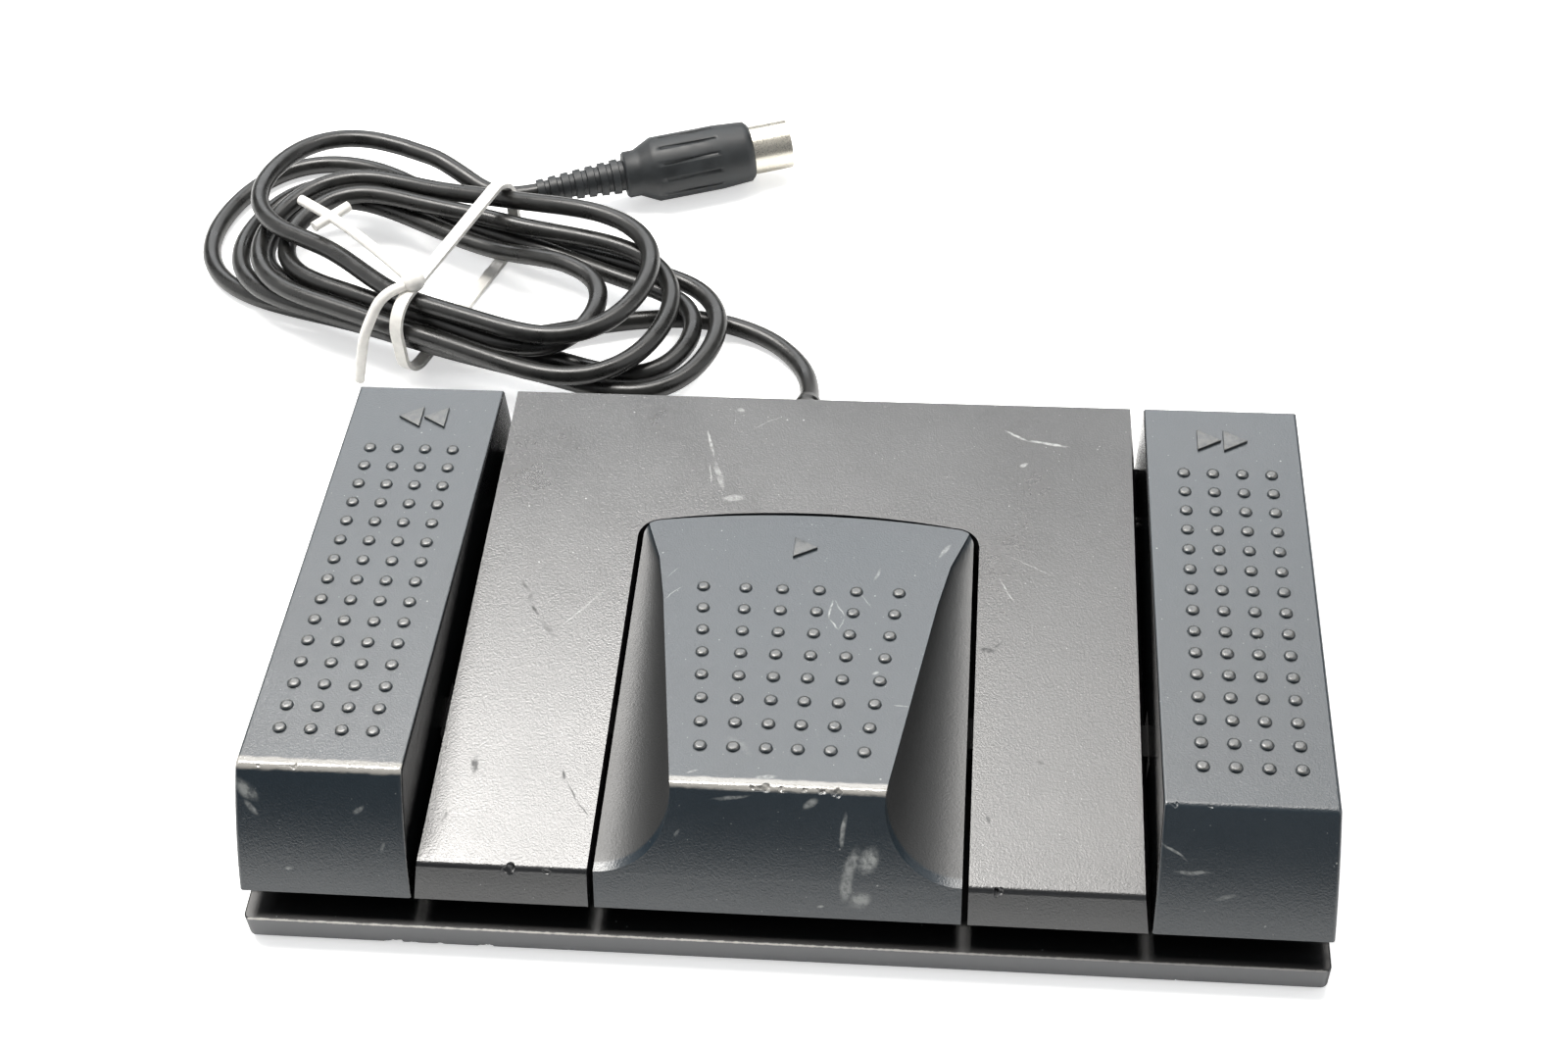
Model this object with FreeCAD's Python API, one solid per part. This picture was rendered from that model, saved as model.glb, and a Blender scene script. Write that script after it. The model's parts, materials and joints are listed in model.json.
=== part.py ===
import FreeCAD, Part
import math
import os

# A three-pedal transcription foot switch with its cord tied in a hank and a DIN plug on the end.
# Millimetres. X runs across the pedals, -Y is the toe end, +Z is up.
# The origin is on the floor under the middle of the base.

V = FreeCAD.Vector
UP = V(0, 0, 1)
ALONG_X = V(1, 0, 0)
ALONG_Y = V(0, 1, 0)

os.makedirs("parts", exist_ok=True)

# Base
base_width = 220.0
base_depth = 135.0
base_top_z = 7.5
foot_height = 0.8
base_corner_radius = 1.5
base_lower_round = 0.9
base_upper_round = 0.4
tray_skin = 2.2
tray_skirt = 2.5

# Steel bottom plate and its screws
plate_thickness = 1.6
plate_gap = 0.3
plate_screw_inset_x = 14.0
plate_screw_inset_y = 14.0
plate_boss_radius = 3.4

# Rubber feet
foot_radius = 8.0
foot_inset_x = 28.0
foot_inset_y = 22.0

# Outline shared by the pedals and the deck, seen from the side
cover_front_inset = 3.0
cover_front_y = -base_depth / 2 + cover_front_inset
cover_front_z = 13.5
cover_rear_z = 9.0
face_radius = 80.0
face_lean = 14.3
pedal_front_y = cover_front_y + face_lean
pedal_front_z = 37.6
pedal_back_inset = 1.4
pedal_back_y = base_depth / 2 - pedal_back_inset
pedal_back_z = 28.8
cover_wall = 2.4

# Side pedals, in plan
pedal_width = 35.7
pedal_outer_x = base_width / 2
pedal_inner_x = pedal_outer_x - pedal_width
pedal_draft = 0.033
nose_round = 1.8
side_round = 0.7

# Deck
deck_side_gap = 0.6
deck_half_width = pedal_inner_x - deck_side_gap
deck_draft = 0.13
deck_back_y = base_depth / 2
deck_back_z = 27.4
deck_front_z = 21.1
deck_wall = 2.2
deck_skirt_gap = 0.2
deck_skirt_front_y = pedal_front_y + deck_skirt_gap
deck_nose_round = 1.4
deck_boss_from_front = 28.5
deck_boss_from_back = [59.5, 7.5]
deck_boss_y = [cover_front_y + deck_boss_from_front] + [deck_back_y - inset for inset in deck_boss_from_back]
deck_boss_radius = 4.0
deck_screw_depth = 9.0
deck_screw_gap = 0.5
tab_notch_gap = 1.0
passage_gap = 0.8
play_flange_low_z = 20.6
play_rim_inset = 12.0

# Middle pedal, in plan
play_half_width = 36.8
play_gap = 1.3
play_back_gap = 0.6
play_back_inset = 35.0
play_back_y = deck_back_y - play_back_inset
play_back_radius = 185.0
play_corner_radius = 4.0
scoop_from_back = [104.5, 81.8, 28.0, 15.6, 5.6, 1.5]
scoop_y = [play_back_y - reach for reach in scoop_from_back]
scoop_edge_x = [18.1, 21.5, 29.6, 32.0, 35.4, 36.6]
scoop_wall = 3.2
upper_room_inset = 26.5
upper_room_back_y = play_back_y - upper_room_inset
play_front_z = 37.5
play_back_z = 25.5
play_inner_skin = 2.6
flange_wall = 2.0
deck_boss_x = (play_half_width + play_gap + flange_wall + deck_half_width - deck_wall) / 2

# Hinges
pin_radius = 1.5
pin_seat_gap = 0.02
pin_running_gap = 0.07
pivot_inset = 9.5
side_pivot_y = deck_back_y - pivot_inset
side_pivot_z = 15.0
play_pivot_y = play_back_y + pivot_inset
play_pivot_z = 14.0
ear_thickness = 3.0
ear_radius = 4.0
ear_side_gap = 0.4
knuckle_radius = 3.6
snap_mouth = 2.4
side_knuckle_x = 7.0
play_knuckle_x = 24.0
clip_thickness = 0.6
clip_radius = 3.2
clip_groove = 0.35
clip_gap = 0.05
pin_end = 1.4
side_travel_deg = 2.2
play_travel_deg = 2.6

# Return springs
spring_wire = 1.2
spring_radius = 4.2
spring_turns = 5
spring_gap = 0.1
spring_length = 14.0
side_spring_from_front = 35.2
play_spring_from_front = 30.2
side_spring_y = pedal_front_y + side_spring_from_front
play_spring_y = pedal_front_y + play_spring_from_front
spigot_radius = 3.2
spigot_height = 2.5
boss_radius = 6.0

# Snap switches
switch_length = 20.0
switch_width = 6.4
switch_height = 10.2
switch_from_pivot = 30.0
switch_hole_pitch = 9.5
switch_hole_z = 3.2
switch_seat_gap = 0.1
plunger_radius = 1.4
plunger_guide_gap = 0.1
plunger_stand = 1.5
plunger_depth = 1.5
plunger_bore_depth = 3.5
plunger_gap = 0.3
switch_wall = 2.5
switch_edge = 0.4
plunger_edge = 0.4
lug_first_z = 2.0
lug_length = 4.0
lug_width = 2.8
lug_thickness = 0.6
lug_pitch = 3.0

# Screws
small_screw_radius = 1.0
small_head_radius = 1.9
small_head_height = 1.2
screw_radius = 1.5
head_radius = 2.8
head_height = 1.6
thread_gap = 0.02
hole_gap = 0.15
recess_width = 0.8
recess_depth = 0.7

# Stops
pad_radius = 4.0
pad_height = 2.4
pad_inset = 4.2
pad_y = pedal_front_y + pad_inset
pad_gap = 0.4
play_pad_x = 16.0
tab_width = 8.0
tab_thickness = 1.6
tab_reach = 4.0
tab_y = play_spring_y
tab_gap = 0.3
tab_top_skin = 2.0

# Terminal board and cord entry
board_size_x = 34.0
board_size_y = 13.0
board_thickness = 1.6
board_boss_gap = 1.8
board_from_back = 11.0
board_x = deck_boss_x - deck_boss_radius - board_boss_gap - board_size_x / 2
board_y = deck_back_y - board_from_back
board_stand = 2.5
board_screw_inset = 3.5
board_post_radius = 2.6
screw_hole_depth = 1.2
wire_radius = 0.65
cord_diameter = 4.8
board_to_cord = 38.0
cord_exit_x = board_x - board_to_cord
cord_exit_z = 13.0
relief_length = 20.0
relief_droop_deg = 20.0
relief_root_radius = 4.6
relief_tip_radius = 3.1
relief_flange_radius = 5.2
relief_groove_radius = 3.9
relief_flange = 1.6
relief_gap = 0.2
relief_ribs = 5
cord_inner_bare = 2.0
clamp_width = 18.0
clamp_depth = 6.0
clamp_inset = 9.0
clamp_y = deck_back_y - clamp_inset
clamp_foot_gap = 0.2
clamp_screw_inset = 3.0
clamp_pinch = 0.1
clamp_roof = 1.6
clamp_round = 1.0
clamp_bore_gap = 0.05

# Dots and signs on the pedals
dot_radius = 1.4
dot_crown_radius = 0.95
dot_height = 0.55
side_dot_columns = 4
side_dot_rows = 15
side_dot_pitch_x = 6.45
side_dot_inset = 8.75
side_dot_first_x = pedal_inner_x + side_dot_inset
side_dot_first = 9.85
side_dot_pitch = 6.08
play_dot_rows = 8
play_dot_front_inset = 10.4
play_dot_back_inset = 24.8
play_dot_front_y = pedal_front_y + play_dot_front_inset
play_dot_back_y = play_back_y - play_dot_back_inset
play_dot_front_x = [3.2, 9.8, 16.5]
play_dot_back_x = [4.0, 12.0, 21.2]
sign_height = 0.5
sign_width_share = 0.8
sign_gap = 0.6
side_sign_size = 6.6
side_sign_inset = 10.5
side_sign_y = pedal_back_y - side_sign_inset
play_sign_size = 6.4
play_sign_inset = 11.2
play_sign_y = play_back_y - play_sign_inset


# Helpers

def box(x0, x1, y0, y1, z0, z1):
    return Part.makeBox(x1 - x0, y1 - y0, z1 - z0, V(x0, y0, z0))


def rod(radius, start, length, direction=UP):
    return Part.makeCylinder(radius, length, start, direction)


def side_prism(points, x0, x1):
    """A flat outline of (y, z) points, drawn out along X."""
    corners = [V(x0, y, z) for y, z in points]
    face = Part.Face(Part.makePolygon(corners + corners[:1]))
    return face.extrude(V(x1 - x0, 0, 0))


def plan_prism(points, z0, z1):
    """A flat outline of (x, y) points, drawn out along Z."""
    corners = [V(x, y, z0) for x, y in points]
    face = Part.Face(Part.makePolygon(corners + corners[:1]))
    return face.extrude(V(0, 0, z1 - z0))


def front_prism(points, y0, y1):
    """A flat outline of (x, z) points, drawn out along Y."""
    corners = [V(x, y0, z) for x, z in points]
    face = Part.Face(Part.makePolygon(corners + corners[:1]))
    return face.extrude(V(0, y1 - y0, 0))


def fuse(solids):
    joined = solids[0].multiFuse(solids[1:]) if len(solids) > 1 else solids[0]
    return joined.removeSplitter()


def edges_where(solid, test):
    return [edge for edge in solid.Edges if test(edge)]


def mirror_x(shape):
    return shape.mirror(V(0, 0, 0), ALONG_X)


def line_z(start, end, y):
    """Height at y of the straight line through two (y, z) points."""
    return start[1] + (end[1] - start[1]) * (y - start[0]) / (end[0] - start[0])


def save(name, shape):
    solids = shape.Solids
    for solid in solids:
        if not solid.isValid() or solid.Volume <= 0:
            print("bad solid in", name)
    (solids[0] if len(solids) == 1 else Part.makeCompound(solids)).exportStep("parts/" + name + ".step")
    print(name, "solids", len(solids), "volume", round(shape.Volume, 1))


# Shared front face: one arc through the pedals' lip and their top front corner

def arc_centre(start, end, radius):
    """Centre of the arc that bulges forwards and up from start to end, both (y, z)."""
    run_y, run_z = end[0] - start[0], end[1] - start[1]
    chord = math.hypot(run_y, run_z)
    drop = math.sqrt(radius ** 2 - (chord / 2) ** 2)
    return ((start[0] + end[0]) / 2 + drop * run_z / chord, (start[1] + end[1]) / 2 - drop * run_y / chord)


FACE = arc_centre((cover_front_y, cover_front_z), (pedal_front_y, pedal_front_z), face_radius)


def face_y(z, inset=0.0):
    """Where the front face is at height z, inset by a wall."""
    radius = face_radius - inset
    return FACE[0] - math.sqrt(radius ** 2 - (z - FACE[1]) ** 2)


def face_meets(start, end, inset=0.0):
    """The (y, z) point where a top line through two points meets the front face."""
    z = start[1]
    for step in range(60):
        z = line_z(start, end, face_y(z, inset))
    return face_y(z, inset), z


def cover_outline(top, bottom_front, bottom_rear, back_y, inset=0.0):
    """Side view of a cover: front arc, sloping top, upright back and a bottom line."""
    slope = math.atan2(top[1][1] - top[0][1], top[1][0] - top[0][0])
    lower = inset / math.cos(slope)
    low_top = [(y, z - lower) for y, z in top]
    nose = face_meets(low_top[0], low_top[1], inset)
    back = (back_y - inset, line_z(low_top[0], low_top[1], back_y - inset))
    lip = (face_y(bottom_front, inset), bottom_front)
    middle_z = (lip[1] + nose[1]) / 2
    middle = (face_y(middle_z, inset), middle_z)
    heel = (back[0], bottom_rear)
    points = [V(0, y, z) for y, z in (lip, middle, nose, back, heel)]
    return Part.Wire([
        Part.Arc(points[0], points[1], points[2]).toShape(),
        Part.LineSegment(points[2], points[3]).toShape(),
        Part.LineSegment(points[3], points[4]).toShape(),
        Part.LineSegment(points[4], points[0]).toShape(),
    ])


def draw_out(wire, x0, x1):
    face = Part.Face(wire)
    face.translate(V(x0, 0, 0))
    return face.extrude(V(x1 - x0, 0, 0))


PEDAL_TOP = [(pedal_front_y, pedal_front_z), (pedal_back_y, pedal_back_z)]
deck_front = face_meets((cover_front_y, deck_front_z), (deck_back_y, deck_back_z))
DECK_TOP = [deck_front, (deck_back_y, deck_back_z)]
PLAY_TOP = [(face_y(play_front_z), play_front_z), (play_back_y, play_back_z)]
plate_top_z = foot_height + plate_thickness
TALL = 60.0
SIDE_X = (pedal_inner_x + pedal_outer_x) / 2
side_pivot = (side_pivot_y, side_pivot_z)
play_pivot = (play_pivot_y, play_pivot_z)


# Hinge details, made at x = 0 and moved to their place

def ear(pivot, low_z):
    """A round-topped ear that stands on low_z and carries the pin."""
    y, z = pivot
    post = box(-ear_thickness / 2, ear_thickness / 2, y - ear_radius, y + ear_radius, low_z, z)
    head = rod(ear_radius, V(-ear_thickness / 2, y, z), ear_thickness, ALONG_X)
    bore = rod(pin_radius + pin_seat_gap, V(-ear_thickness, y, z), 2 * ear_thickness, ALONG_X)
    return post.fuse(head).cut(bore).removeSplitter()


def knuckle(pivot, top_z):
    """A rib that hangs from top_z and snaps over the pin."""
    y, z = pivot
    rib = box(-ear_thickness / 2, ear_thickness / 2, y - knuckle_radius, y + knuckle_radius, z, top_z)
    foot = rod(knuckle_radius, V(-ear_thickness / 2, y, z), ear_thickness, ALONG_X)
    bore = rod(pin_radius + pin_running_gap, V(-ear_thickness, y, z), 2 * ear_thickness, ALONG_X)
    mouth = box(-ear_thickness, ear_thickness, y - snap_mouth / 2, y + snap_mouth / 2, z - 2 * knuckle_radius, z)
    return rib.fuse(foot).cut(bore).cut(mouth).removeSplitter()


def ear_x(knuckle_x):
    """Middle of the fixed ear that stands outside a knuckle."""
    return knuckle_x + ear_thickness + ear_side_gap


def pin_half(knuckle_x):
    return ear_x(knuckle_x) + ear_thickness / 2 + clip_gap + clip_thickness + pin_end


def hinge_pin(pivot, middle_x, knuckle_x):
    y, z = pivot
    half = pin_half(knuckle_x)
    pin = rod(pin_radius, V(middle_x - half, y, z), 2 * half, ALONG_X)
    for side in (-1, 1):
        inner = middle_x + side * (ear_x(knuckle_x) + ear_thickness / 2 + clip_gap)
        start = min(inner, inner + side * clip_thickness)
        ring = rod(pin_radius + 1, V(start, y, z), clip_thickness, ALONG_X)
        core = rod(pin_radius - clip_groove, V(start, y, z), clip_thickness, ALONG_X)
        pin = pin.cut(ring.cut(core))
    return pin


def hinge_clips(pivot, middle_x, knuckle_x):
    """Two open spring clips, one in each groove of a pin."""
    y, z = pivot
    clips = []
    inner_radius = pin_radius - clip_groove + clip_gap / 2
    for side in (-1, 1):
        inner = middle_x + side * (ear_x(knuckle_x) + ear_thickness / 2 + clip_gap)
        start = min(inner, inner + side * clip_thickness)
        disc = rod(clip_radius, V(start, y, z), clip_thickness, ALONG_X)
        bore = rod(inner_radius, V(start, y, z), clip_thickness, ALONG_X)
        slot = box(start, start + clip_thickness, y - inner_radius, y + inner_radius, z, z + 2 * clip_radius)
        clips.append(disc.cut(bore).cut(slot))
    return clips


# Dots and signs that stand on a sloping top face

def slope_of(top):
    return math.degrees(math.atan2(top[1][1] - top[0][1], top[1][0] - top[0][0]))


def stand_on(shape, top, x, y):
    """Move a shape made on z = 0 onto the top face, tilted with it."""
    moved = shape.copy()
    moved.rotate(V(0, 0, 0), ALONG_X, slope_of(top))
    moved.translate(V(x, y, line_z(top[0], top[1], y)))
    return moved


def dot():
    sunk = Part.makeCylinder(dot_radius, dot_height, V(0, 0, -dot_height / 2))
    crown = Part.makeCone(dot_radius, dot_crown_radius, dot_height / 2, V(0, 0, dot_height / 2))
    return sunk.fuse(crown)


def triangles(size, count, way):
    """Play or wind sign: plain triangles in a row that point along way."""
    width = size * sign_width_share
    pitch = width + sign_gap
    signs = []
    for index in range(count):
        middle = way * pitch * (index + 0.5 - count / 2)
        tip = middle + way * width / 2
        tail = middle - way * width / 2
        corners = [V(tail, -size / 2, -sign_height), V(tip, 0, -sign_height), V(tail, size / 2, -sign_height)]
        face = Part.Face(Part.makePolygon(corners + corners[:1]))
        signs.append(face.extrude(V(0, 0, 2 * sign_height)))
    return signs


def side_dots():
    places = []
    for row in range(side_dot_rows):
        y = pedal_front_y + side_dot_first + row * side_dot_pitch
        for column in range(side_dot_columns):
            places.append((side_dot_first_x + column * side_dot_pitch_x, y))
    return [stand_on(dot(), PEDAL_TOP, x, y) for x, y in places]


def play_dots():
    places = []
    for row in range(play_dot_rows):
        share = row / (play_dot_rows - 1)
        y = play_dot_front_y + share * (play_dot_back_y - play_dot_front_y)
        for front_x, back_x in zip(play_dot_front_x, play_dot_back_x):
            x = front_x + share * (back_x - front_x)
            places += [(x, y), (-x, y)]
    return [stand_on(dot(), PLAY_TOP, x, y) for x, y in places]


# Side pedals, drawn for the right-hand side

def drafted(x0, x1, low_z, high_z, inset=0.0):
    """A block whose sides lean in together towards the top."""
    lean = pedal_draft * (high_z - cover_front_z)
    low = pedal_draft * (low_z - cover_front_z)
    outline = [(x0 + low + inset, low_z), (x1 - low - inset, low_z)]
    outline += [(x1 - lean - inset, high_z), (x0 + lean + inset, high_z)]
    return front_prism(outline, -TALL * 2, TALL * 2)


def top_edges(solid, top):
    """Edges that lie on the sloping top face."""
    found = []
    for edge in solid.Edges:
        middle = edge.valueAt((edge.FirstParameter + edge.LastParameter) / 2)
        if abs(middle.z - line_z(top[0], top[1], middle.y)) < 0.01:
            found.append(edge)
    return found


def nose_edges(solid, top):
    """The edge between the sloping top and the front face."""
    return [edge for edge in top_edges(solid, top)
            if edge.BoundBox.XLength > cover_wall and edge.BoundBox.YMax < top[0][0] + 1]


def side_skin(inset=0.0):
    outline = cover_outline(PEDAL_TOP, cover_front_z, cover_rear_z, pedal_back_y, inset)
    return draw_out(outline, 0, TALL * 3).common(drafted(pedal_inner_x, pedal_outer_x, 0, TALL, inset))


def side_cavity():
    """The hollow of a side pedal, open below."""
    hollow = side_skin(cover_wall)
    low = cover_rear_z - cover_wall
    floor = [(face_y(cover_front_z, cover_wall), low), (pedal_back_y - cover_wall, low)]
    floor += [(pedal_back_y - cover_wall, cover_rear_z), (face_y(cover_front_z, cover_wall), cover_front_z)]
    below = side_prism(floor, pedal_inner_x + cover_wall, pedal_outer_x - cover_wall)
    return hollow.fuse(below).removeSplitter()


def side_pedal(sign_count, sign_way):
    outer = side_skin()
    outer = outer.makeFillet(nose_round, nose_edges(outer, PEDAL_TOP))
    rims = [edge for edge in top_edges(outer, PEDAL_TOP) if edge.BoundBox.YLength > pedal_outer_x / 2]
    outer = outer.makeFillet(side_round, rims)
    shell = outer.cut(side_cavity())
    inside = side_cavity()
    extras = []
    for way in (-1, 1):
        rib = knuckle(side_pivot, TALL)
        rib.translate(V(SIDE_X + way * side_knuckle_x, 0, 0))
        extras.append(rib.common(inside))
    boss = rod(boss_radius, V(SIDE_X, side_spring_y, base_top_z + spring_length), TALL)
    spigot = rod(spigot_radius, V(SIDE_X, side_spring_y, base_top_z + spring_length - spigot_height), spigot_height)
    extras.append(boss.common(inside).fuse(spigot))
    press_y = side_pivot_y - switch_from_pivot
    extras.append(presser(SIDE_X, press_y).common(inside))
    extras.append(bumper(SIDE_X, side_pivot, side_travel_deg, pedal_inner_x, pedal_outer_x).common(inside))
    extras.append(side_tab())
    marks = side_dots()
    for sign in triangles(side_sign_size, sign_count, sign_way):
        marks.append(stand_on(sign, PEDAL_TOP, SIDE_X, side_sign_y))
    return fuse([shell] + extras + marks)


def presser(x, y):
    """Crossed ribs that come down on a switch plunger."""
    low = base_top_z + switch_height + plunger_stand + plunger_gap
    along = box(x - ear_thickness / 2, x + ear_thickness / 2, y - 6, y + 6, low, TALL)
    across = box(x - 6, x + 6, y - 1, y + 1, low, TALL)
    return along.fuse(across)


def pad_drop(pivot, travel_deg):
    return (pivot[0] - pad_y) * math.sin(math.radians(travel_deg))


def bumper(x, pivot, travel_deg, x0, x1):
    """A cross rib that lands on the rubber stop at full travel."""
    low = base_top_z + pad_height + pad_gap + pad_drop(pivot, travel_deg)
    return box(x0, x1, pad_y - 1.2, pad_y + 1.2, low, TALL)


def tab_top(y):
    """Upper face of the tabs that stop the pedals from rising."""
    return cover_front_z + tab_thickness + tab_top_skin


def side_tab():
    inner = pedal_inner_x + cover_wall / 2
    reach = deck_half_width - deck_wall - tab_reach
    return box(reach, inner, tab_y - tab_width / 2, tab_y + tab_width / 2, tab_top(tab_y) - tab_thickness, tab_top(tab_y))


# Middle pedal

def play_plan(grow, back_grow, z0, z1):
    """Plan of the middle pedal, grown all round: straight sides and a bowed back."""
    half = play_half_width + grow
    radius = play_back_radius + back_grow
    back = play_back_y + back_grow
    side_y = back - radius + math.sqrt(radius ** 2 - half ** 2)
    toe = V(half, -TALL * 2, z0)
    corner = V(half, side_y, z0)
    crown = V(0, back, z0)
    wire = Part.Wire([
        Part.LineSegment(toe, corner).toShape(),
        Part.Arc(corner, crown, V(-half, side_y, z0)).toShape(),
        Part.LineSegment(V(-half, side_y, z0), V(-half, -TALL * 2, z0)).toShape(),
        Part.LineSegment(V(-half, -TALL * 2, z0), toe).toShape(),
    ])
    block = Part.Face(wire).extrude(V(0, 0, z1 - z0))
    corners = edges_where(block, lambda e: e.BoundBox.ZLength > (z1 - z0) / 2 and e.BoundBox.YMin > side_y - 0.1)
    return block.makeFillet(play_corner_radius + grow, corners)


def scoop_section(y, edge_x):
    """The part of a cross-section that a scoop takes away: a quarter oval and what is outside it."""
    round_share = 0.5523
    top = line_z(PLAY_TOP[0], PLAY_TOP[1], y)
    low = line_z(DECK_TOP[0], DECK_TOP[1], y)
    across = play_half_width - edge_x
    start, end = V(edge_x, y, top), V(play_half_width, y, low)
    curve = Part.BezierCurve()
    curve.setPoles([start, start - V(0, 0, round_share * (top - low)), end - V(round_share * across, 0, 0), end])
    corners = [end, V(TALL, y, low), V(TALL, y, TALL), V(edge_x, y, TALL), start]
    lines = [Part.LineSegment(a, b).toShape() for a, b in zip(corners, corners[1:])]
    return Part.Wire([curve.toShape()] + lines)


def play_room():
    """The hollow of the middle pedal: a low room under the scoops and a narrow one under the top."""
    inner_half = play_half_width - cover_wall
    low_line = cover_outline(DECK_TOP, cover_front_z, cover_front_z, play_back_y, play_inner_skin)
    low = draw_out(low_line, -inner_half, inner_half)
    front = face_y(cover_front_z, play_inner_skin)
    low = low.fuse(box(-inner_half, inner_half, front, play_back_y, 0, cover_front_z))
    low = low.common(play_plan(-cover_wall, -cover_wall, 0, TALL))
    high_line = cover_outline(PLAY_TOP, cover_front_z, cover_front_z, play_back_y, cover_wall)
    high = draw_out(high_line, -play_half_width, play_half_width)
    front_half = scoop_edge_x[0] - scoop_wall
    back_half = front_half + (scoop_edge_x[2] - scoop_edge_x[0]) * (upper_room_back_y - scoop_y[0]) / (
        scoop_y[2] - scoop_y[0])
    plan = [(-front_half, scoop_y[0]), (front_half, scoop_y[0])]
    plan += [(back_half, upper_room_back_y), (-back_half, upper_room_back_y)]
    return low.fuse(high.common(plan_prism(plan, 0, TALL))).removeSplitter()


def play_pedal():
    line = cover_outline(PLAY_TOP, cover_front_z, cover_front_z, play_back_y)
    outer = draw_out(line, -play_half_width, play_half_width)
    outer = outer.makeFillet(nose_round, nose_edges(outer, PLAY_TOP))
    outer = outer.common(play_plan(0, 0, 0, TALL))
    scoop = Part.makeLoft([scoop_section(y, x) for y, x in zip(scoop_y, scoop_edge_x)], True, True)
    outer = outer.cut(scoop).cut(mirror_x(scoop))
    room = play_room()
    shell = outer.cut(room)
    extras = []
    boss = rod(boss_radius, V(0, play_spring_y, base_top_z + spring_length), TALL)
    spigot = rod(spigot_radius, V(0, play_spring_y, base_top_z + spring_length - spigot_height), spigot_height)
    extras.append(boss.common(room).fuse(spigot))
    extras.append(presser(0, play_pivot_y - switch_from_pivot).common(room))
    extras.append(bumper(0, play_pivot, play_travel_deg, -play_half_width, play_half_width).common(room))
    tab_end = play_half_width + play_gap + flange_wall + tab_reach
    for way in (-1, 1):
        extras.append(play_arm(way))
        inner = play_half_width - cover_wall / 2
        span = sorted((way * inner, way * tab_end))
        low = tab_top(tab_y) - tab_thickness
        extras.append(box(span[0], span[1], tab_y - tab_width / 2, tab_y + tab_width / 2, low, tab_top(tab_y)))
    marks = play_dots()
    for sign in triangles(play_sign_size, 1, 1):
        marks.append(stand_on(sign, PLAY_TOP, 0, play_sign_y))
    return fuse([shell] + extras + marks)


def play_arm(way):
    """An arm from the back wall of the middle pedal that snaps over the pin."""
    y, z = play_pivot
    arm = box(-ear_thickness / 2, ear_thickness / 2, play_back_y - 2 * cover_wall, y, z - 1.2, z + knuckle_radius)
    block = knuckle(play_pivot, z + knuckle_radius)
    bore = rod(pin_radius + pin_running_gap, V(-ear_thickness, y, z), 2 * ear_thickness, ALONG_X)
    mouth = box(-ear_thickness, ear_thickness, y - snap_mouth / 2, y + snap_mouth / 2, 0, z)
    arm = arm.cut(bore).cut(mouth).fuse(block)
    arm.translate(V(way * play_knuckle_x, 0, 0))
    return arm


# Deck

def deck_block(low_z, inset=0.0):
    line = cover_outline(DECK_TOP, low_z, low_z, deck_back_y, inset)
    half = deck_half_width - inset
    top = half - deck_draft * (TALL - cover_front_z)
    right = [(half, 0), (half, cover_front_z), (top, TALL)]
    sides = front_prism(right + [(-x, z) for x, z in right[::-1]], -TALL * 2, TALL * 2)
    return draw_out(line, -TALL * 2, TALL * 2).common(sides)


def deck_boss_places():
    return [(way * deck_boss_x, y) for way in (-1, 1) for y in deck_boss_y]


def relief_opening():
    """The round-topped notch in the rear wall that holds the cord's strain relief."""
    neck = relief_groove_radius + relief_gap
    hole = rod(neck, V(cord_exit_x, deck_back_y - 3 * deck_wall, cord_exit_z), TALL, ALONG_Y)
    slot = box(cord_exit_x - neck, cord_exit_x + neck, deck_back_y - 3 * deck_wall, TALL * 2, 0, cord_exit_z)
    return hole.fuse(slot)


def deck_cover():
    outer = deck_block(base_top_z)
    outer = outer.makeFillet(deck_nose_round, nose_edges(outer, DECK_TOP))
    hollow = deck_block(base_top_z - 1, deck_wall)
    toe = box(-TALL * 2, TALL * 2, -TALL * 2, deck_skirt_front_y, 0, cover_front_z)
    shell = outer.cut(hollow).cut(toe)
    hole = play_plan(play_gap, play_back_gap, 0, TALL)
    ring = play_plan(play_gap + flange_wall, play_back_gap + flange_wall, cover_front_z, TALL).cut(hole)
    ring = ring.common(outer)
    ring = ring.cut(box(-TALL, TALL, play_back_y - play_rim_inset, TALL, 0, play_flange_low_z))
    shell = shell.cut(hole).fuse(ring)
    bosses = []
    for x, y in deck_boss_places():
        post = rod(deck_boss_radius, V(x, y, base_top_z), TALL).common(deck_block(base_top_z, deck_wall / 2))
        bosses.append(post)
    shell = fuse([shell] + bosses)
    for x, y in deck_boss_places():
        shell = shell.cut(rod(screw_radius + thread_gap, V(x, y, 0), base_top_z + deck_screw_depth))
    stop_z = tab_top(tab_y) + tab_gap
    notch_half = tab_width / 2 + tab_notch_gap
    inner = play_half_width + play_gap - 0.5
    for way in (-1, 1):
        outside = sorted((way * (deck_half_width - deck_wall - 1), way * (deck_half_width + 4)))
        shell = shell.cut(box(outside[0], outside[1], tab_y - notch_half, tab_y + notch_half, 0, stop_z))
        inside = sorted((way * inner, way * (inner + flange_wall + 1)))
        shell = shell.cut(box(inside[0], inside[1], tab_y - notch_half, tab_y + notch_half, 0, stop_z))
        wire_y = wire_cross_y - wire_pitch / 2
        room = wire_pitch / 2 + wire_radius + 2 * passage_gap
        passage_z = wire_low_z + wire_radius + passage_gap
        shell = shell.cut(box(outside[0], outside[1], wire_y - room, wire_y + room, 0, passage_z))
    return shell.cut(relief_opening()).removeSplitter()


# Base tray and what is fixed under it

def rounded_block(width, depth, z0, z1, corner):
    block = box(-width / 2, width / 2, -depth / 2, depth / 2, z0, z1)
    return block.makeFillet(corner, edges_where(block, lambda e: e.BoundBox.ZLength > (z1 - z0) / 2))


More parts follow.
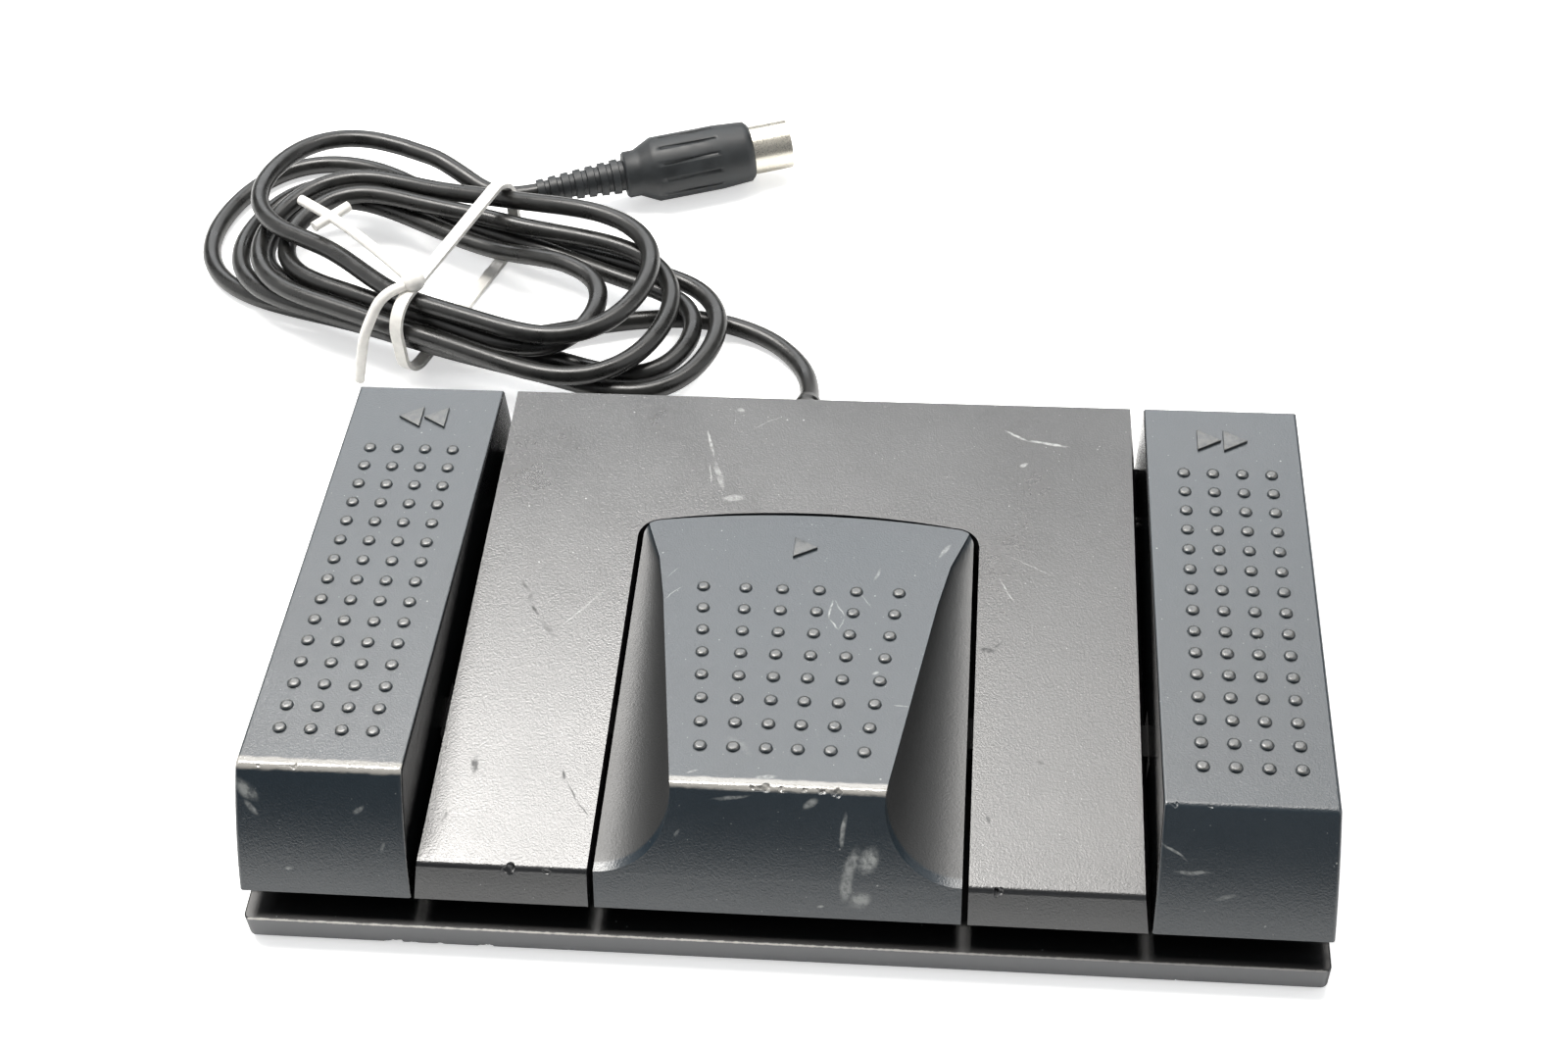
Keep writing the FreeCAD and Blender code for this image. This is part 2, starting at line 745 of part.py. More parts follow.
def plate_screw_places():
    x = base_width / 2 - plate_screw_inset_x
    y = base_depth / 2 - plate_screw_inset_y
    return [(way * x, side * y) for way in (-1, 0, 1) for side in (-1, 1)]


def switch_places():
    """Middle of each snap switch: name, x, y."""
    side_y = side_pivot_y - switch_from_pivot
    play_y = play_pivot_y - switch_from_pivot
    return [("back", -SIDE_X, side_y), ("play", 0.0, play_y), ("ffwd", SIDE_X, side_y)]


def spring_places():
    return [("back", -SIDE_X, side_spring_y), ("play", 0.0, play_spring_y), ("ffwd", SIDE_X, side_spring_y)]


def switch_screw_places(x, y):
    hole_z = base_top_z + switch_hole_z
    return [(x, y + way * switch_hole_pitch / 2, hole_z) for way in (-1, 1)]


def switch_mount_wall(x, y):
    """The upright wall of the tray that one switch is screwed to."""
    start = x - switch_width / 2 - switch_seat_gap - switch_wall
    wall = box(start, start + switch_wall, y - switch_length / 2, y + switch_length / 2,
               base_top_z - 1, base_top_z + switch_height * 0.7)
    for _, hole_y, hole_z in switch_screw_places(x, y):
        wall = wall.cut(rod(small_screw_radius + thread_gap, V(start - 1, hole_y, hole_z), switch_wall + 2, ALONG_X))
    return wall


def board_screw_places():
    return [(board_x + way * (board_size_x / 2 - board_screw_inset), board_y) for way in (-1, 1)]


def clamp_screw_places():
    return [(cord_exit_x + way * (clamp_width / 2 - clamp_screw_inset), clamp_y) for way in (-1, 1)]


def clamp_foot_z():
    return cord_exit_z - cord_diameter / 2 - clamp_pinch


def pad_places():
    return [(x, pad_y) for x in (-SIDE_X, -play_pad_x, play_pad_x, SIDE_X)]


def base_tray():
    outer = rounded_block(base_width, base_depth, foot_height, base_top_z, base_corner_radius)
    lower = edges_where(outer, lambda e: e.BoundBox.ZMax < foot_height + 0.01)
    outer = outer.makeFillet(base_lower_round, lower)
    upper = edges_where(outer, lambda e: e.BoundBox.ZMin > base_top_z - 0.01)
    outer = outer.makeFillet(base_upper_round, upper)
    under = rounded_block(base_width - 2 * tray_skirt, base_depth - 2 * tray_skirt,
                          foot_height - 1, base_top_z - tray_skin, base_corner_radius)
    tray = outer.cut(under)
    extras = []
    for x, y in plate_screw_places():
        boss = rod(plate_boss_radius, V(x, y, plate_top_z), base_top_z - tray_skin / 2 - plate_top_z)
        extras.append(boss)
    for middle in (-SIDE_X, SIDE_X):
        for way in (-1, 1):
            post = ear(side_pivot, base_top_z - 1)
            post.translate(V(middle + way * ear_x(side_knuckle_x), 0, 0))
            extras.append(post)
    for way in (-1, 1):
        post = ear(play_pivot, base_top_z - 1)
        post.translate(V(way * ear_x(play_knuckle_x), 0, 0))
        extras.append(post)
    for _, x, y in spring_places():
        extras.append(rod(spigot_radius, V(x, y, base_top_z - 1), spigot_height + 1))
    for _, x, y in switch_places():
        extras.append(switch_mount_wall(x, y))
    for x, y in board_screw_places():
        extras.append(rod(board_post_radius, V(x, y, base_top_z - 1), board_stand + 1))
    foot = clamp_foot_z() - clamp_foot_gap
    extras.append(box(cord_exit_x - clamp_width / 2, cord_exit_x + clamp_width / 2,
                      clamp_y - clamp_depth / 2, clamp_y + clamp_depth / 2, base_top_z - 1, foot))
    neck = relief_groove_radius
    sill = box(cord_exit_x - neck, cord_exit_x + neck, deck_back_y - deck_wall, deck_back_y - base_upper_round,
               base_top_z - 1, cord_exit_z)
    extras.append(sill.cut(rod(neck + relief_gap / 2, V(cord_exit_x, 0, cord_exit_z), TALL * 2, ALONG_Y)))
    tray = fuse([tray] + extras)
    drills = []
    for x, y in plate_screw_places():
        drills.append(rod(screw_radius + thread_gap, V(x, y, 0), base_top_z - 0.8))
    for x, y in deck_boss_places():
        drills.append(rod(screw_radius + hole_gap, V(x, y, 0), base_top_z + 1))
    for x, y in board_screw_places():
        drills.append(rod(small_screw_radius + thread_gap, V(x, y, base_top_z - screw_hole_depth), TALL))
    for x, y in clamp_screw_places():
        drills.append(rod(small_screw_radius + thread_gap, V(x, y, base_top_z - screw_hole_depth), TALL))
    for drill in drills:
        tray = tray.cut(drill)
    return tray.removeSplitter()


def bottom_plate():
    inset = 2 * (tray_skirt + plate_gap)
    plate = rounded_block(base_width - inset, base_depth - inset, foot_height, plate_top_z, base_corner_radius)
    for x, y in plate_screw_places():
        plate = plate.cut(rod(screw_radius + hole_gap, V(x, y, 0), TALL))
    return plate


def rubber_feet():
    feet = []
    for way in (-1, 1):
        for side in (-1, 1):
            place = V(way * (base_width / 2 - foot_inset_x), side * (base_depth / 2 - foot_inset_y), 0)
            feet.append(Part.makeCylinder(foot_radius, foot_height, place))
    return Part.makeCompound(feet)


def screw(shank, head, height, length, direction=UP):
    """A pan-head screw with a crossed recess. The head's seat is at z = 0 and the shank goes along +Z."""
    body = rod(shank, V(0, 0, 0), length).fuse(rod(head, V(0, 0, -height), height))
    for turn in (0, 90):
        bar = box(-head * 0.55, head * 0.55, -recess_width / 2, recess_width / 2, -height, recess_depth - height)
        bar.rotate(V(0, 0, 0), UP, turn)
        body = body.cut(bar)
    return body


def screws_at(places, tool, flip=False):
    """Copies of a screw, each with its seat at a place. Flipped ones point down."""
    made = []
    for place in places:
        copy = tool.copy()
        if flip:
            copy.rotate(V(0, 0, 0), ALONG_X, 180)
        copy.translate(V(*place))
        made.append(copy)
    return Part.makeCompound(made)


# Working parts inside

def biarc(start, start_way, end, end_way):
    """Two tangent arcs from start to end, each as (start, middle, end) points."""
    a, b = start_way.normalize(), end_way.normalize()
    gap = end - start
    both = a + b
    k = 2 * (1 - a.dot(b))
    if k < 1e-9:
        reach = gap.dot(gap) / (4 * gap.dot(a))
    else:
        root = math.sqrt(gap.dot(both) ** 2 + k * gap.dot(gap))
        reach = (root - gap.dot(both)) / k
    joint = (start + a * reach + end - b * reach) * 0.5
    return [arc_points(start, a, joint), arc_points(end, b * -1, joint)[::-1]]


def arc_points(start, way, end):
    """The arc that leaves start along way and ends at end, as three points."""
    chord = end - start
    half = chord.Length / 2
    toward = V(chord).normalize()
    side = way - toward * way.dot(toward)
    angle = math.atan2(side.Length, way.dot(toward))
    if side.Length < 1e-6:
        return [start, (start + end) * 0.5, end]
    return [start, (start + end) * 0.5 + side.normalize() * (half * math.tan(angle / 2)), end]


def path_edge(points):
    start, middle, end = points
    if middle.distanceToLine(start, end - start) < 1e-5:
        return Part.LineSegment(start, end).toShape()
    return Part.Arc(start, middle, end).toShape()


def tube(edges, radius):
    """A round tube along a path of tangent edges, as a solid."""
    wire = Part.Wire(edges)
    first = edges[0]
    way = first.tangentAt(first.FirstParameter)
    ring = Part.Wire(Part.makeCircle(radius, first.valueAt(first.FirstParameter), way))
    made = wire.makePipeShell([ring], True, False)
    print("tube section x length", round(math.pi * radius ** 2 * wire.Length, 1), "volume", round(made.Volume, 1))
    return made


def spring(x, y):
    """An open coil of half-turn arcs pairs, from the tray to the pedal's boss."""
    low = base_top_z + spring_gap + spring_wire / 2
    high = base_top_z + spring_length - spring_gap - spring_wire / 2
    quarters = 4 * spring_turns
    rise = (high - low) / quarters
    nodes = []
    for index in range(quarters + 1):
        angle = index * math.pi / 2
        place = V(x + spring_radius * math.cos(angle), y + spring_radius * math.sin(angle), low + index * rise)
        climb = 0 if index in (0, quarters) else rise / (spring_radius * math.pi / 2)
        nodes.append((place, V(-math.sin(angle), math.cos(angle), climb)))
    edges = []
    for (start, a), (end, b) in zip(nodes, nodes[1:]):
        edges += [path_edge(points) for points in biarc(start, V(a), end, V(b))]
    return tube(edges, spring_wire / 2)


def snap_switch(x, y):
    top = base_top_z + switch_height
    body = box(x - switch_width / 2, x + switch_width / 2, y - switch_length / 2, y + switch_length / 2,
               base_top_z, top)
    body = body.makeChamfer(switch_edge, edges_where(body, lambda e: e.BoundBox.ZMin > top - 0.01))
    body = body.cut(rod(plunger_radius + plunger_guide_gap, V(x, y, top - plunger_bore_depth), TALL))
    for _, hole_y, hole_z in switch_screw_places(x, y):
        hole = rod(small_screw_radius + hole_gap, V(x - switch_width, hole_y, hole_z), 2 * switch_width, ALONG_X)
        body = body.cut(hole)
    return body


def plunger(x, y):
    top = base_top_z + switch_height
    pin = rod(plunger_radius, V(x, y, top - plunger_depth), plunger_depth + plunger_stand)
    return pin.makeFillet(plunger_edge, edges_where(pin, lambda e: e.BoundBox.ZMin > top + plunger_stand - 0.01))


def lug_places(x, y):
    """Inner end of each solder lug on the rear of a switch."""
    return [(x, y + switch_length / 2, base_top_z + lug_first_z + way * lug_pitch) for way in (0, 1)]


def switch_lugs():
    lugs = []
    for _, x, y in switch_places():
        for lug_x, lug_y, lug_z in lug_places(x, y):
            lugs.append(box(lug_x - lug_width / 2, lug_x + lug_width / 2, lug_y, lug_y + lug_length,
                            lug_z - lug_thickness / 2, lug_z + lug_thickness / 2))
    return Part.makeCompound(lugs)


def switch_screws():
    made = []
    seat_x = switch_width / 2
    length = switch_width + switch_seat_gap + switch_wall
    for _, x, y in switch_places():
        for _, hole_y, hole_z in switch_screw_places(x, y):
            tool = screw(small_screw_radius, small_head_radius, small_head_height, length)
            tool.rotate(V(0, 0, 0), ALONG_Y, -90)
            tool.translate(V(x + seat_x, hole_y, hole_z))
            made.append(tool)
    return Part.makeCompound(made)


# Wires and free cord: straight runs joined by arcs as large as the runs allow

def route(points, name=""):
    """Edges through a list of points, with every corner rounded, and the list of radii."""
    edges = []
    radii = []
    here = points[0]
    for before, corner, after in zip(points, points[1:], points[2:]):
        run_in, run_out = corner - before, after - corner
        turn = run_in.getAngle(run_out)
        cut = 0.45 * min(run_in.Length, run_out.Length)
        radius = cut / math.tan(turn / 2)
        radii.append(round(radius, 1))
        enter = corner - V(run_in).normalize() * cut
        leave = corner + V(run_out).normalize() * cut
        edges.append(Part.LineSegment(here, enter).toShape())
        edges.append(path_edge(arc_points(enter, V(run_in).normalize(), leave)))
        here = leave
    edges.append(Part.LineSegment(here, points[-1]).toShape())
    if name:
        print(name, "bend radii", radii)
    return edges


def wire_tubes(routes):
    return Part.makeCompound([tube(route([V(*p) for p in points]), wire_radius) for points in routes])


board_z = base_top_z + board_stand
board_edge_z = board_z + board_thickness / 2
wire_low_z = base_top_z + wire_radius + 0.2
wire_cross_inset = 17.9
wire_cross_y = deck_back_y - wire_cross_inset
wire_lug_run = 2.2
wire_lift = 0.5
wire_turn_x = 5.0
wire_settle_x = 18.0
wire_board_run = 5.0
back_wire_in_y = -5.4
ffwd_wire_in_y = -3.4
play_wire_in_y = 0.2
cord_wire_in_y = 3.6
conductor_pitch = 1.5
wire_pitch = 1.7
board_left = board_x - board_size_x / 2
board_right = board_x + board_size_x / 2


def lug_ends(x, y):
    return [(lug_x, lug_y + lug_length, lug_z) for lug_x, lug_y, lug_z in lug_places(x, y)]


def back_wires():
    x, y = switch_places()[0][1:]
    made = []
    for index, (lug_x, lug_y, lug_z) in enumerate(lug_ends(x, y)):
        cross = wire_cross_y - index * wire_pitch
        end_y = board_y + back_wire_in_y + (1 - index) * wire_pitch
        settle_x = lug_x + wire_settle_x
        middle_x = (settle_x + board_left) / 2
        made.append([(lug_x, lug_y, lug_z), (lug_x, lug_y + wire_lug_run, lug_z),
                     (lug_x + wire_turn_x + 2 * index, cross - 1 + index, wire_low_z),
                     (settle_x, cross, wire_low_z),
                     (middle_x, cross - wire_radius, wire_low_z),
                     (board_left - 2 * wire_board_run, cross, wire_low_z),
                     (board_left - wire_board_run, end_y, board_edge_z), (board_left, end_y, board_edge_z)])
    return wire_tubes(made)


def ffwd_wires():
    x, y = switch_places()[2][1:]
    made = []
    for index, (lug_x, lug_y, lug_z) in enumerate(lug_ends(x, y)):
        cross = wire_cross_y - index * wire_pitch
        end_y = board_y + ffwd_wire_in_y + (1 - index) * wire_pitch
        made.append([(lug_x, lug_y, lug_z), (lug_x, lug_y + wire_lug_run, lug_z),
                     (lug_x - wire_turn_x - 2 * index, cross - 1 + index, wire_low_z),
                     (lug_x - wire_settle_x, cross, wire_low_z),
                     (board_right + wire_board_run, end_y, board_edge_z), (board_right, end_y, board_edge_z)])
    return wire_tubes(made)


def play_wires():
    x, y = switch_places()[1][1:]
    made = []
    for index, (lug_x, lug_y, lug_z) in enumerate(lug_ends(x, y)):
        side = 2 * wire_radius * (2 * index - 1)
        end_y = board_y + play_wire_in_y - index * wire_pitch
        low = wire_low_z + 2 * wire_radius + wire_lift
        made.append([(lug_x, lug_y, lug_z), (lug_x, lug_y + wire_lug_run, lug_z),
                     (lug_x + side + 1, lug_y + 4 * wire_lug_run, low),
                     (board_left - 2 * wire_board_run, end_y - 3 + index, low),
                     (board_left - wire_board_run, end_y, board_edge_z), (board_left, end_y, board_edge_z)])
    return wire_tubes(made)


cord_inner_end_y = clamp_y - clamp_depth / 2 - cord_inner_bare
relief_inner_y = deck_back_y - deck_wall - relief_gap - relief_flange


def cord_conductors():
    made = []
    for index in range(2):
        x = cord_exit_x + conductor_pitch * index
        end_y = board_y + cord_wire_in_y + index * wire_pitch
        made.append([(x, cord_inner_end_y, cord_exit_z), (x, cord_inner_end_y - wire_lug_run, cord_exit_z),
                     (x + 4 * wire_lug_run, cord_inner_end_y - 2 * wire_lug_run + index, cord_exit_z + wire_lift),
                     (board_left - wire_board_run - 1 - index, end_y - wire_lug_run, board_edge_z + wire_lug_run),
                     (board_left - wire_board_run / 2, end_y, board_edge_z), (board_left, end_y, board_edge_z)])
    return wire_tubes(made)


def terminal_board():
    board = box(board_left, board_right, board_y - board_size_y / 2, board_y + board_size_y / 2,
                board_z, board_z + board_thickness)
    for x, y in board_screw_places():
        board = board.cut(rod(small_screw_radius + hole_gap, V(x, y, 0), TALL))
    return board


def cord_inner():
    return rod(cord_diameter / 2, V(cord_exit_x, cord_inner_end_y, cord_exit_z),
               relief_inner_y - cord_inner_end_y, ALONG_Y)


def cord_clamp():
    foot = clamp_foot_z() - clamp_foot_gap + clamp_bore_gap
    high = cord_exit_z + cord_diameter / 2 + clamp_roof
    block = box(cord_exit_x - clamp_width / 2, cord_exit_x + clamp_width / 2,
                clamp_y - clamp_depth / 2, clamp_y + clamp_depth / 2, foot, high)
    block = block.makeFillet(clamp_round, edges_where(block, lambda e: e.BoundBox.ZMin > high - 0.01
                                              and e.BoundBox.YLength > 1))
    room = cord_diameter / 2 + clamp_bore_gap
    bore = rod(room, V(cord_exit_x, 0, cord_exit_z), TALL * 2, ALONG_Y)
    slot = box(cord_exit_x - room, cord_exit_x + room, 0, TALL * 2, 0, cord_exit_z)
    block = block.cut(bore).cut(slot)
    for x, y in clamp_screw_places():
        block = block.cut(rod(small_screw_radius + hole_gap, V(x, y, 0), TALL))
    return block


def relief_root_y():
    """Where the taper leaves the outer flange."""
    return deck_back_y + relief_gap + relief_flange


def relief_point(along):
    """A point on the drooping axis of the taper, measured from its root."""
    droop = math.radians(relief_droop_deg)
    return V(cord_exit_x, relief_root_y() + along * math.cos(droop), cord_exit_z - along * math.sin(droop))


def spun(outline, centre):
    """A solid of revolution about +Y through centre from (radius, y) points."""
    corners = [centre + V(r, y, 0) for r, y in outline]
    face = Part.Face(Part.makePolygon(corners + corners[:1]))
    return face.revolve(centre, ALONG_Y, 360)


def relief():
    """Strain relief: two flanges, a neck in the rear wall and a ribbed taper that droops."""
    neck_start = relief_inner_y + relief_flange
    neck_end = deck_back_y + relief_gap
    neck = spun([(0, relief_inner_y), (relief_flange_radius, relief_inner_y), (relief_flange_radius, neck_start),
                 (relief_groove_radius, neck_start), (relief_groove_radius, neck_end),
                 (relief_flange_radius, neck_end), (relief_flange_radius, relief_root_y()), (0, relief_root_y())],
                V(cord_exit_x, 0, cord_exit_z))
    taper = [(0, -relief_flange / 2), (relief_root_radius, -relief_flange / 2)]
    pitch = relief_length / relief_ribs
    for index in range(relief_ribs):
        low = index * pitch
        for share, drop in ((0.25, 0), (0.7, 0), (0.75, 0.5), (1.0, 0.5)):
            y = low + share * pitch
            radius = relief_root_radius + (relief_tip_radius - relief_root_radius) * y / relief_length
            taper.append((radius - drop, y))
    taper.append((0, relief_length))
    boot = spun(taper, V(0, 0, 0))
    boot.rotate(V(0, 0, 0), ALONG_X, -relief_droop_deg)
    boot.translate(relief_point(0))
    return fuse([neck, boot])


# Cord: lead, hank, tail, tie and plug. Plan places are (u, v): u along the hank, v across it.

hank_from_exit = 93.0
hank_from_back = 54.5
hank_x = cord_exit_x - hank_from_exit
hank_y = deck_back_y + hank_from_back
hank_turn_deg = -20.0
layer_low_z = 4.0
layer_pitch = 5.4
floor_z = cord_diameter / 2

# Each lobe: reach from the waist, half width, middle, layer
left_lobes = [(81, 29, 12, 0), (65, 24, 3, 1), (58.5, 18, 3, 1), (50, 18.5, 2, 2), (57, 24.5, 2, 2)]
right_lobes = [(70, 22, 3, 1), (64, 16.3, 3, 1), (40, 16.5, -2, 2), (58, 25, 0.5, 2), (50, 24, 6, 3)]
far_waist_v = [27.5, 22.5, 16.5, 22.5, 28.5]
climb_share_at_waist = [0.5, 0.5, 0.1, 0.5, 0.5]
near_waist_v = [-21.0, -15.0, -17.5, -23.5, -18.0]
last_lobe = (65, 24, 16)
last_lobe_z = [20.2, 19.0, 14.6]
hank_start = (-17.0, -16.5)
hank_end = (-36.0, 40.0, 14.2)

lead_first_run = 8.0
lead_floor_steps = [(-3.5, 38.0, 2.45), (-12.5, 47.0, 2.6)]
lead_points = [(63.0, 20.8, 2.9), (50.0, 16.5, 2.9), (37.0, 8.0, 3.6), (24.0, -2.5, 4.0), (9.0, -11.5, 4.0),
               (-7.0, -16.5, 4.0)]
tail_points = [(-30.0, 40.0, 13.84), (-22.0, 38.4, 12.4), (-13.5, 36.6, 10.1), (-6.44, 38.6, 8.75)]
plug_start = (-1.0, 43.0)
plug_heading_deg = 39.0


def hank_point(u, v, z):
    turn = math.radians(hank_turn_deg)
    return V(hank_x + u * math.cos(turn) - v * math.sin(turn), hank_y + u * math.sin(turn) + v * math.cos(turn), z)


def hank_way(u, v, z=0.0):
    return hank_point(u, v, z) - hank_point(0, 0, 0)


def layer_z(layer):
    return layer_low_z + layer * layer_pitch


def hank_nodes():
    """Places and headings along the hank: lobe by lobe, drawn in at the waist."""
    nodes = []
    start = hank_point(hank_start[0], hank_start[1], layer_low_z)
    nodes.append((start, hank_way(-1, 0)))
    nodes.append((start + hank_way(-cord_diameter, 0), hank_way(-1, 0)))
    for index, (reach, half, middle, layer) in enumerate(left_lobes):
        z = floor_z if layer == 0 else layer_z(layer)
        nodes.append((hank_point(half - reach, middle - half, z), hank_way(-1, 0)))
        nodes.append((hank_point(-reach, middle, z), hank_way(0, 1)))
        nodes.append((hank_point(half - reach, middle + half, z), hank_way(1, 0)))
        right_reach, right_half, right_middle, right_layer = right_lobes[index]
        next_z = layer_z(right_layer)
        share = climb_share_at_waist[index]
        waist_z = z + share * (next_z - z)
        climb = 3 * share * (next_z - z) / (reach - half + right_reach - right_half)
        nodes.append((hank_point(0, far_waist_v[index], waist_z), hank_way(1, 0, climb)))
        shoulder = right_reach - right_half
        nodes.append((hank_point(shoulder, right_middle + right_half, next_z), hank_way(1, 0)))
        nodes.append((hank_point(right_reach, right_middle, next_z), hank_way(0, -1)))
        nodes.append((hank_point(shoulder, right_middle - right_half, next_z), hank_way(-1, 0)))
        nodes.append((hank_point(0, near_waist_v[index], next_z), hank_way(-1, 0)))
    reach, half, middle = last_lobe
    nodes.append((hank_point(half - reach, middle - half, last_lobe_z[0]), hank_way(-1, 0)))
    nodes.append((hank_point(-reach, middle, last_lobe_z[1]), hank_way(0, 1, -0.10)))
    nodes.append((hank_point(half - reach, middle + half, last_lobe_z[2]), hank_way(1, 0, -0.08)))
    nodes.append((hank_point(*hank_end), hank_way(1, 0, -0.06)))
    return nodes


def hank_edges():
    edges = []
    nodes = hank_nodes()
    for (start, a), (end, b) in zip(nodes, nodes[1:]):
        straight = (end - start).getAngle(a) < 1e-3 and (end - start).getAngle(b) < 1e-3
        if straight:
            edges.append(Part.LineSegment(start, end).toShape())
        else:
            edges += [path_edge(points) for points in biarc(start, V(a), end, V(b))]
    return edges


def least_gap(edges, diameter):
    """Least clear distance of a tube to itself, measured between points about 2 mm apart."""
    points = []
    travelled = 0.0
    for edge in edges:
        count = max(2, int(edge.Length / 2))
        for index in range(count):
            at = edge.FirstParameter + (edge.LastParameter - edge.FirstParameter) * index / count
            points.append((travelled + edge.Length * index / count, edge.valueAt(at)))
        travelled += edge.Length
    least = (1e9, None)
    for index, (here, point) in enumerate(points):
        for there, other in points[index + 1:]:
            if there - here > 4 * diameter:
                span = point.distanceToPoint(other)
                if span < least[0]:
                    least = (span, point)
    print("hank length", round(travelled, 1), "least gap", round(least[0] - diameter, 2), "at", least[1])


def cord_lead():
    points = [relief_point(relief_length), relief_point(relief_length + lead_first_run)]
    points += [V(cord_exit_x + x, deck_back_y + y, z) for x, y, z in lead_floor_steps]
    points += [hank_point(*place) for place in lead_points]
    points.append(hank_point(hank_start[0], hank_start[1], layer_low_z))
    edges = route(points, "cord_lead")
    print("lead length", round(sum(edge.Length for edge in edges), 1))
    return tube(edges, cord_diameter / 2)


def cord_tail():
    points = [hank_point(*hank_end)]
    points += [hank_point(*place) for place in tail_points]
    points.append(hank_point(plug_start[0], plug_start[1], plug_z))
    edges = route(points, "cord_tail")
    print("tail length", round(sum(edge.Length for edge in edges), 1))
    return tube(edges, cord_diameter / 2)


# Plug, drawn along +X from the tip of its boot

boot_length = 24.0
boot_tip_radius = 3.2
boot_root_radius = 4.9
boot_ribs = 7
collar_radius = 6.3
collar_length = 3.5
body_radius = 8.75
body_front_radius = 8.2
body_length = 32.0
body_shoulder = 5.0
grip_groove = 0.5
grip_count = 12
shell_radius = 6.6
shell_wall = 0.5
shell_length = 10.7
shell_seat = 6.0
insulator_depth = 6.5
plug_pin_radius = 0.75
plug_pin_circle = 3.5
plug_pin_count = 5
plug_pin_tip = 1.5
plug_fit_gap = 0.05
plug_z = body_radius


def turned(outline):
    """A solid of revolution about X from (x, radius) points."""
    corners = [V(x, 0, radius) for x, radius in outline]
    return Part.Face(Part.makePolygon(corners + corners[:1])).revolve(V(0, 0, 0), ALONG_X, 360)


def in_place(shape):
    moved = shape.copy()
    moved.rotate(V(0, 0, 0), UP, plug_heading_deg + hank_turn_deg)
    moved.translate(hank_point(plug_start[0], plug_start[1], plug_z))
    return moved


def plug_boot():
    outline = [(0, 0)]
    pitch = boot_length / boot_ribs
    for index in range(boot_ribs):
        low = index * pitch
        for x, drop in ((low, 0), (low + 0.55 * pitch, 0), (low + 0.62 * pitch, 0.7), (low + 0.94 * pitch, 0.7)):
            radius = boot_tip_radius + (boot_root_radius - boot_tip_radius) * x / boot_length
            outline.append((x, radius - drop))
    outline += [(boot_length, boot_root_radius), (boot_length, 0)]
    return in_place(turned(outline))


def plug_body():
    start = boot_length
    end = start + collar_length + body_length
    outline = [(start, 0), (start, collar_radius - 0.6), (start + 0.6, collar_radius),
               (start + collar_length, collar_radius), (start + collar_length + body_shoulder, body_radius),
               (end - 9, body_radius), (end - 1, body_front_radius), (end, body_front_radius - 1), (end, 0)]
    body = turned(outline)
    long_end = end - 10
    for index in range(grip_count):
        groove = box(start + collar_length + body_shoulder + 2, long_end, -0.5, 0.5,
                     body_radius - grip_groove, body_radius + 1)
        groove.rotate(V(0, 0, 0), ALONG_X, (index + 0.5) * 360 / grip_count)
        body = body.cut(groove)
    body = body.cut(rod(shell_radius + plug_fit_gap, V(end - shell_seat, 0, 0), TALL, ALONG_X))
    return in_place(body)


plug_face_x = boot_length + collar_length + body_length


def plug_shell():
    start = plug_face_x - shell_seat
    shell = rod(shell_radius, V(start, 0, 0), shell_seat + shell_length, ALONG_X)
    shell = shell.cut(rod(shell_radius - shell_wall, V(start - 1, 0, 0), TALL, ALONG_X))
    key = box(plug_face_x + shell_length - 8, TALL * 2, -1.0, 1.0, -shell_radius - 1, 0)
    return in_place(shell.cut(key))


def plug_insulator():
    start = plug_face_x - shell_seat
    disc = rod(shell_radius - shell_wall - plug_fit_gap, V(start, 0, 0), insulator_depth, ALONG_X)
    for y, z in plug_pin_places():
        disc = disc.cut(rod(plug_pin_radius + plug_fit_gap, V(start - 1, y, z), TALL, ALONG_X))
    return in_place(disc)


def plug_pin_places():
    places = []
    for index in range(plug_pin_count):
        angle = math.radians(index * 180 / (plug_pin_count - 1))
        places.append((plug_pin_circle * math.cos(angle), plug_pin_circle * math.sin(angle)))
    return places


def plug_pins():
    start = plug_face_x - shell_seat
    length = shell_seat + shell_length - plug_pin_tip
    pins = []
    for y, z in plug_pin_places():
        pin = rod(plug_pin_radius, V(start, y, z), length, ALONG_X)
        pin = pin.makeFillet(0.5, edges_where(pin, lambda e: e.BoundBox.XMin > start + length - 0.01))
        pins.append(in_place(pin))
    return Part.makeCompound(pins)


# Tie: a flat band round the waist, a knot and two free ends

tie_width = 3.2
tie_thickness = 1.2
tie_gap = 0.3
tie_low_z = 0.1
tie_round = 7.0
tie_end_radius = 1.35
knot_radius = 3.0
tie_knot = (-6.0, -16.0)
tie_hook = [(-18.0, -9.5, 1.5), (-33.0, -3.5, 1.0), (-46.0, 0.5, 0.0)]
tie_bar = [(-36.5, -8.0), (-32.5, 2.5)]
tie_rise = 0.6
tie_tail_x = [-6.5, -9.5, -11.5, -12.5]
tie_fall = [5.7, 0.5, 1.5, 3.0]
tie_floor_gap = 0.2


def band_block(grow, width):
    near = min(near_waist_v) - floor_z - tie_gap - grow
    far = max(far_waist_v) + floor_z + tie_gap + grow
    low = tie_low_z + tie_thickness - grow
    high = layer_z(3) + floor_z + tie_gap + grow
    block = box(-width / 2, width / 2, near, far, low, high)
    return block.makeFillet(tie_round + grow, edges_where(block, lambda e: e.BoundBox.XLength > width / 2))


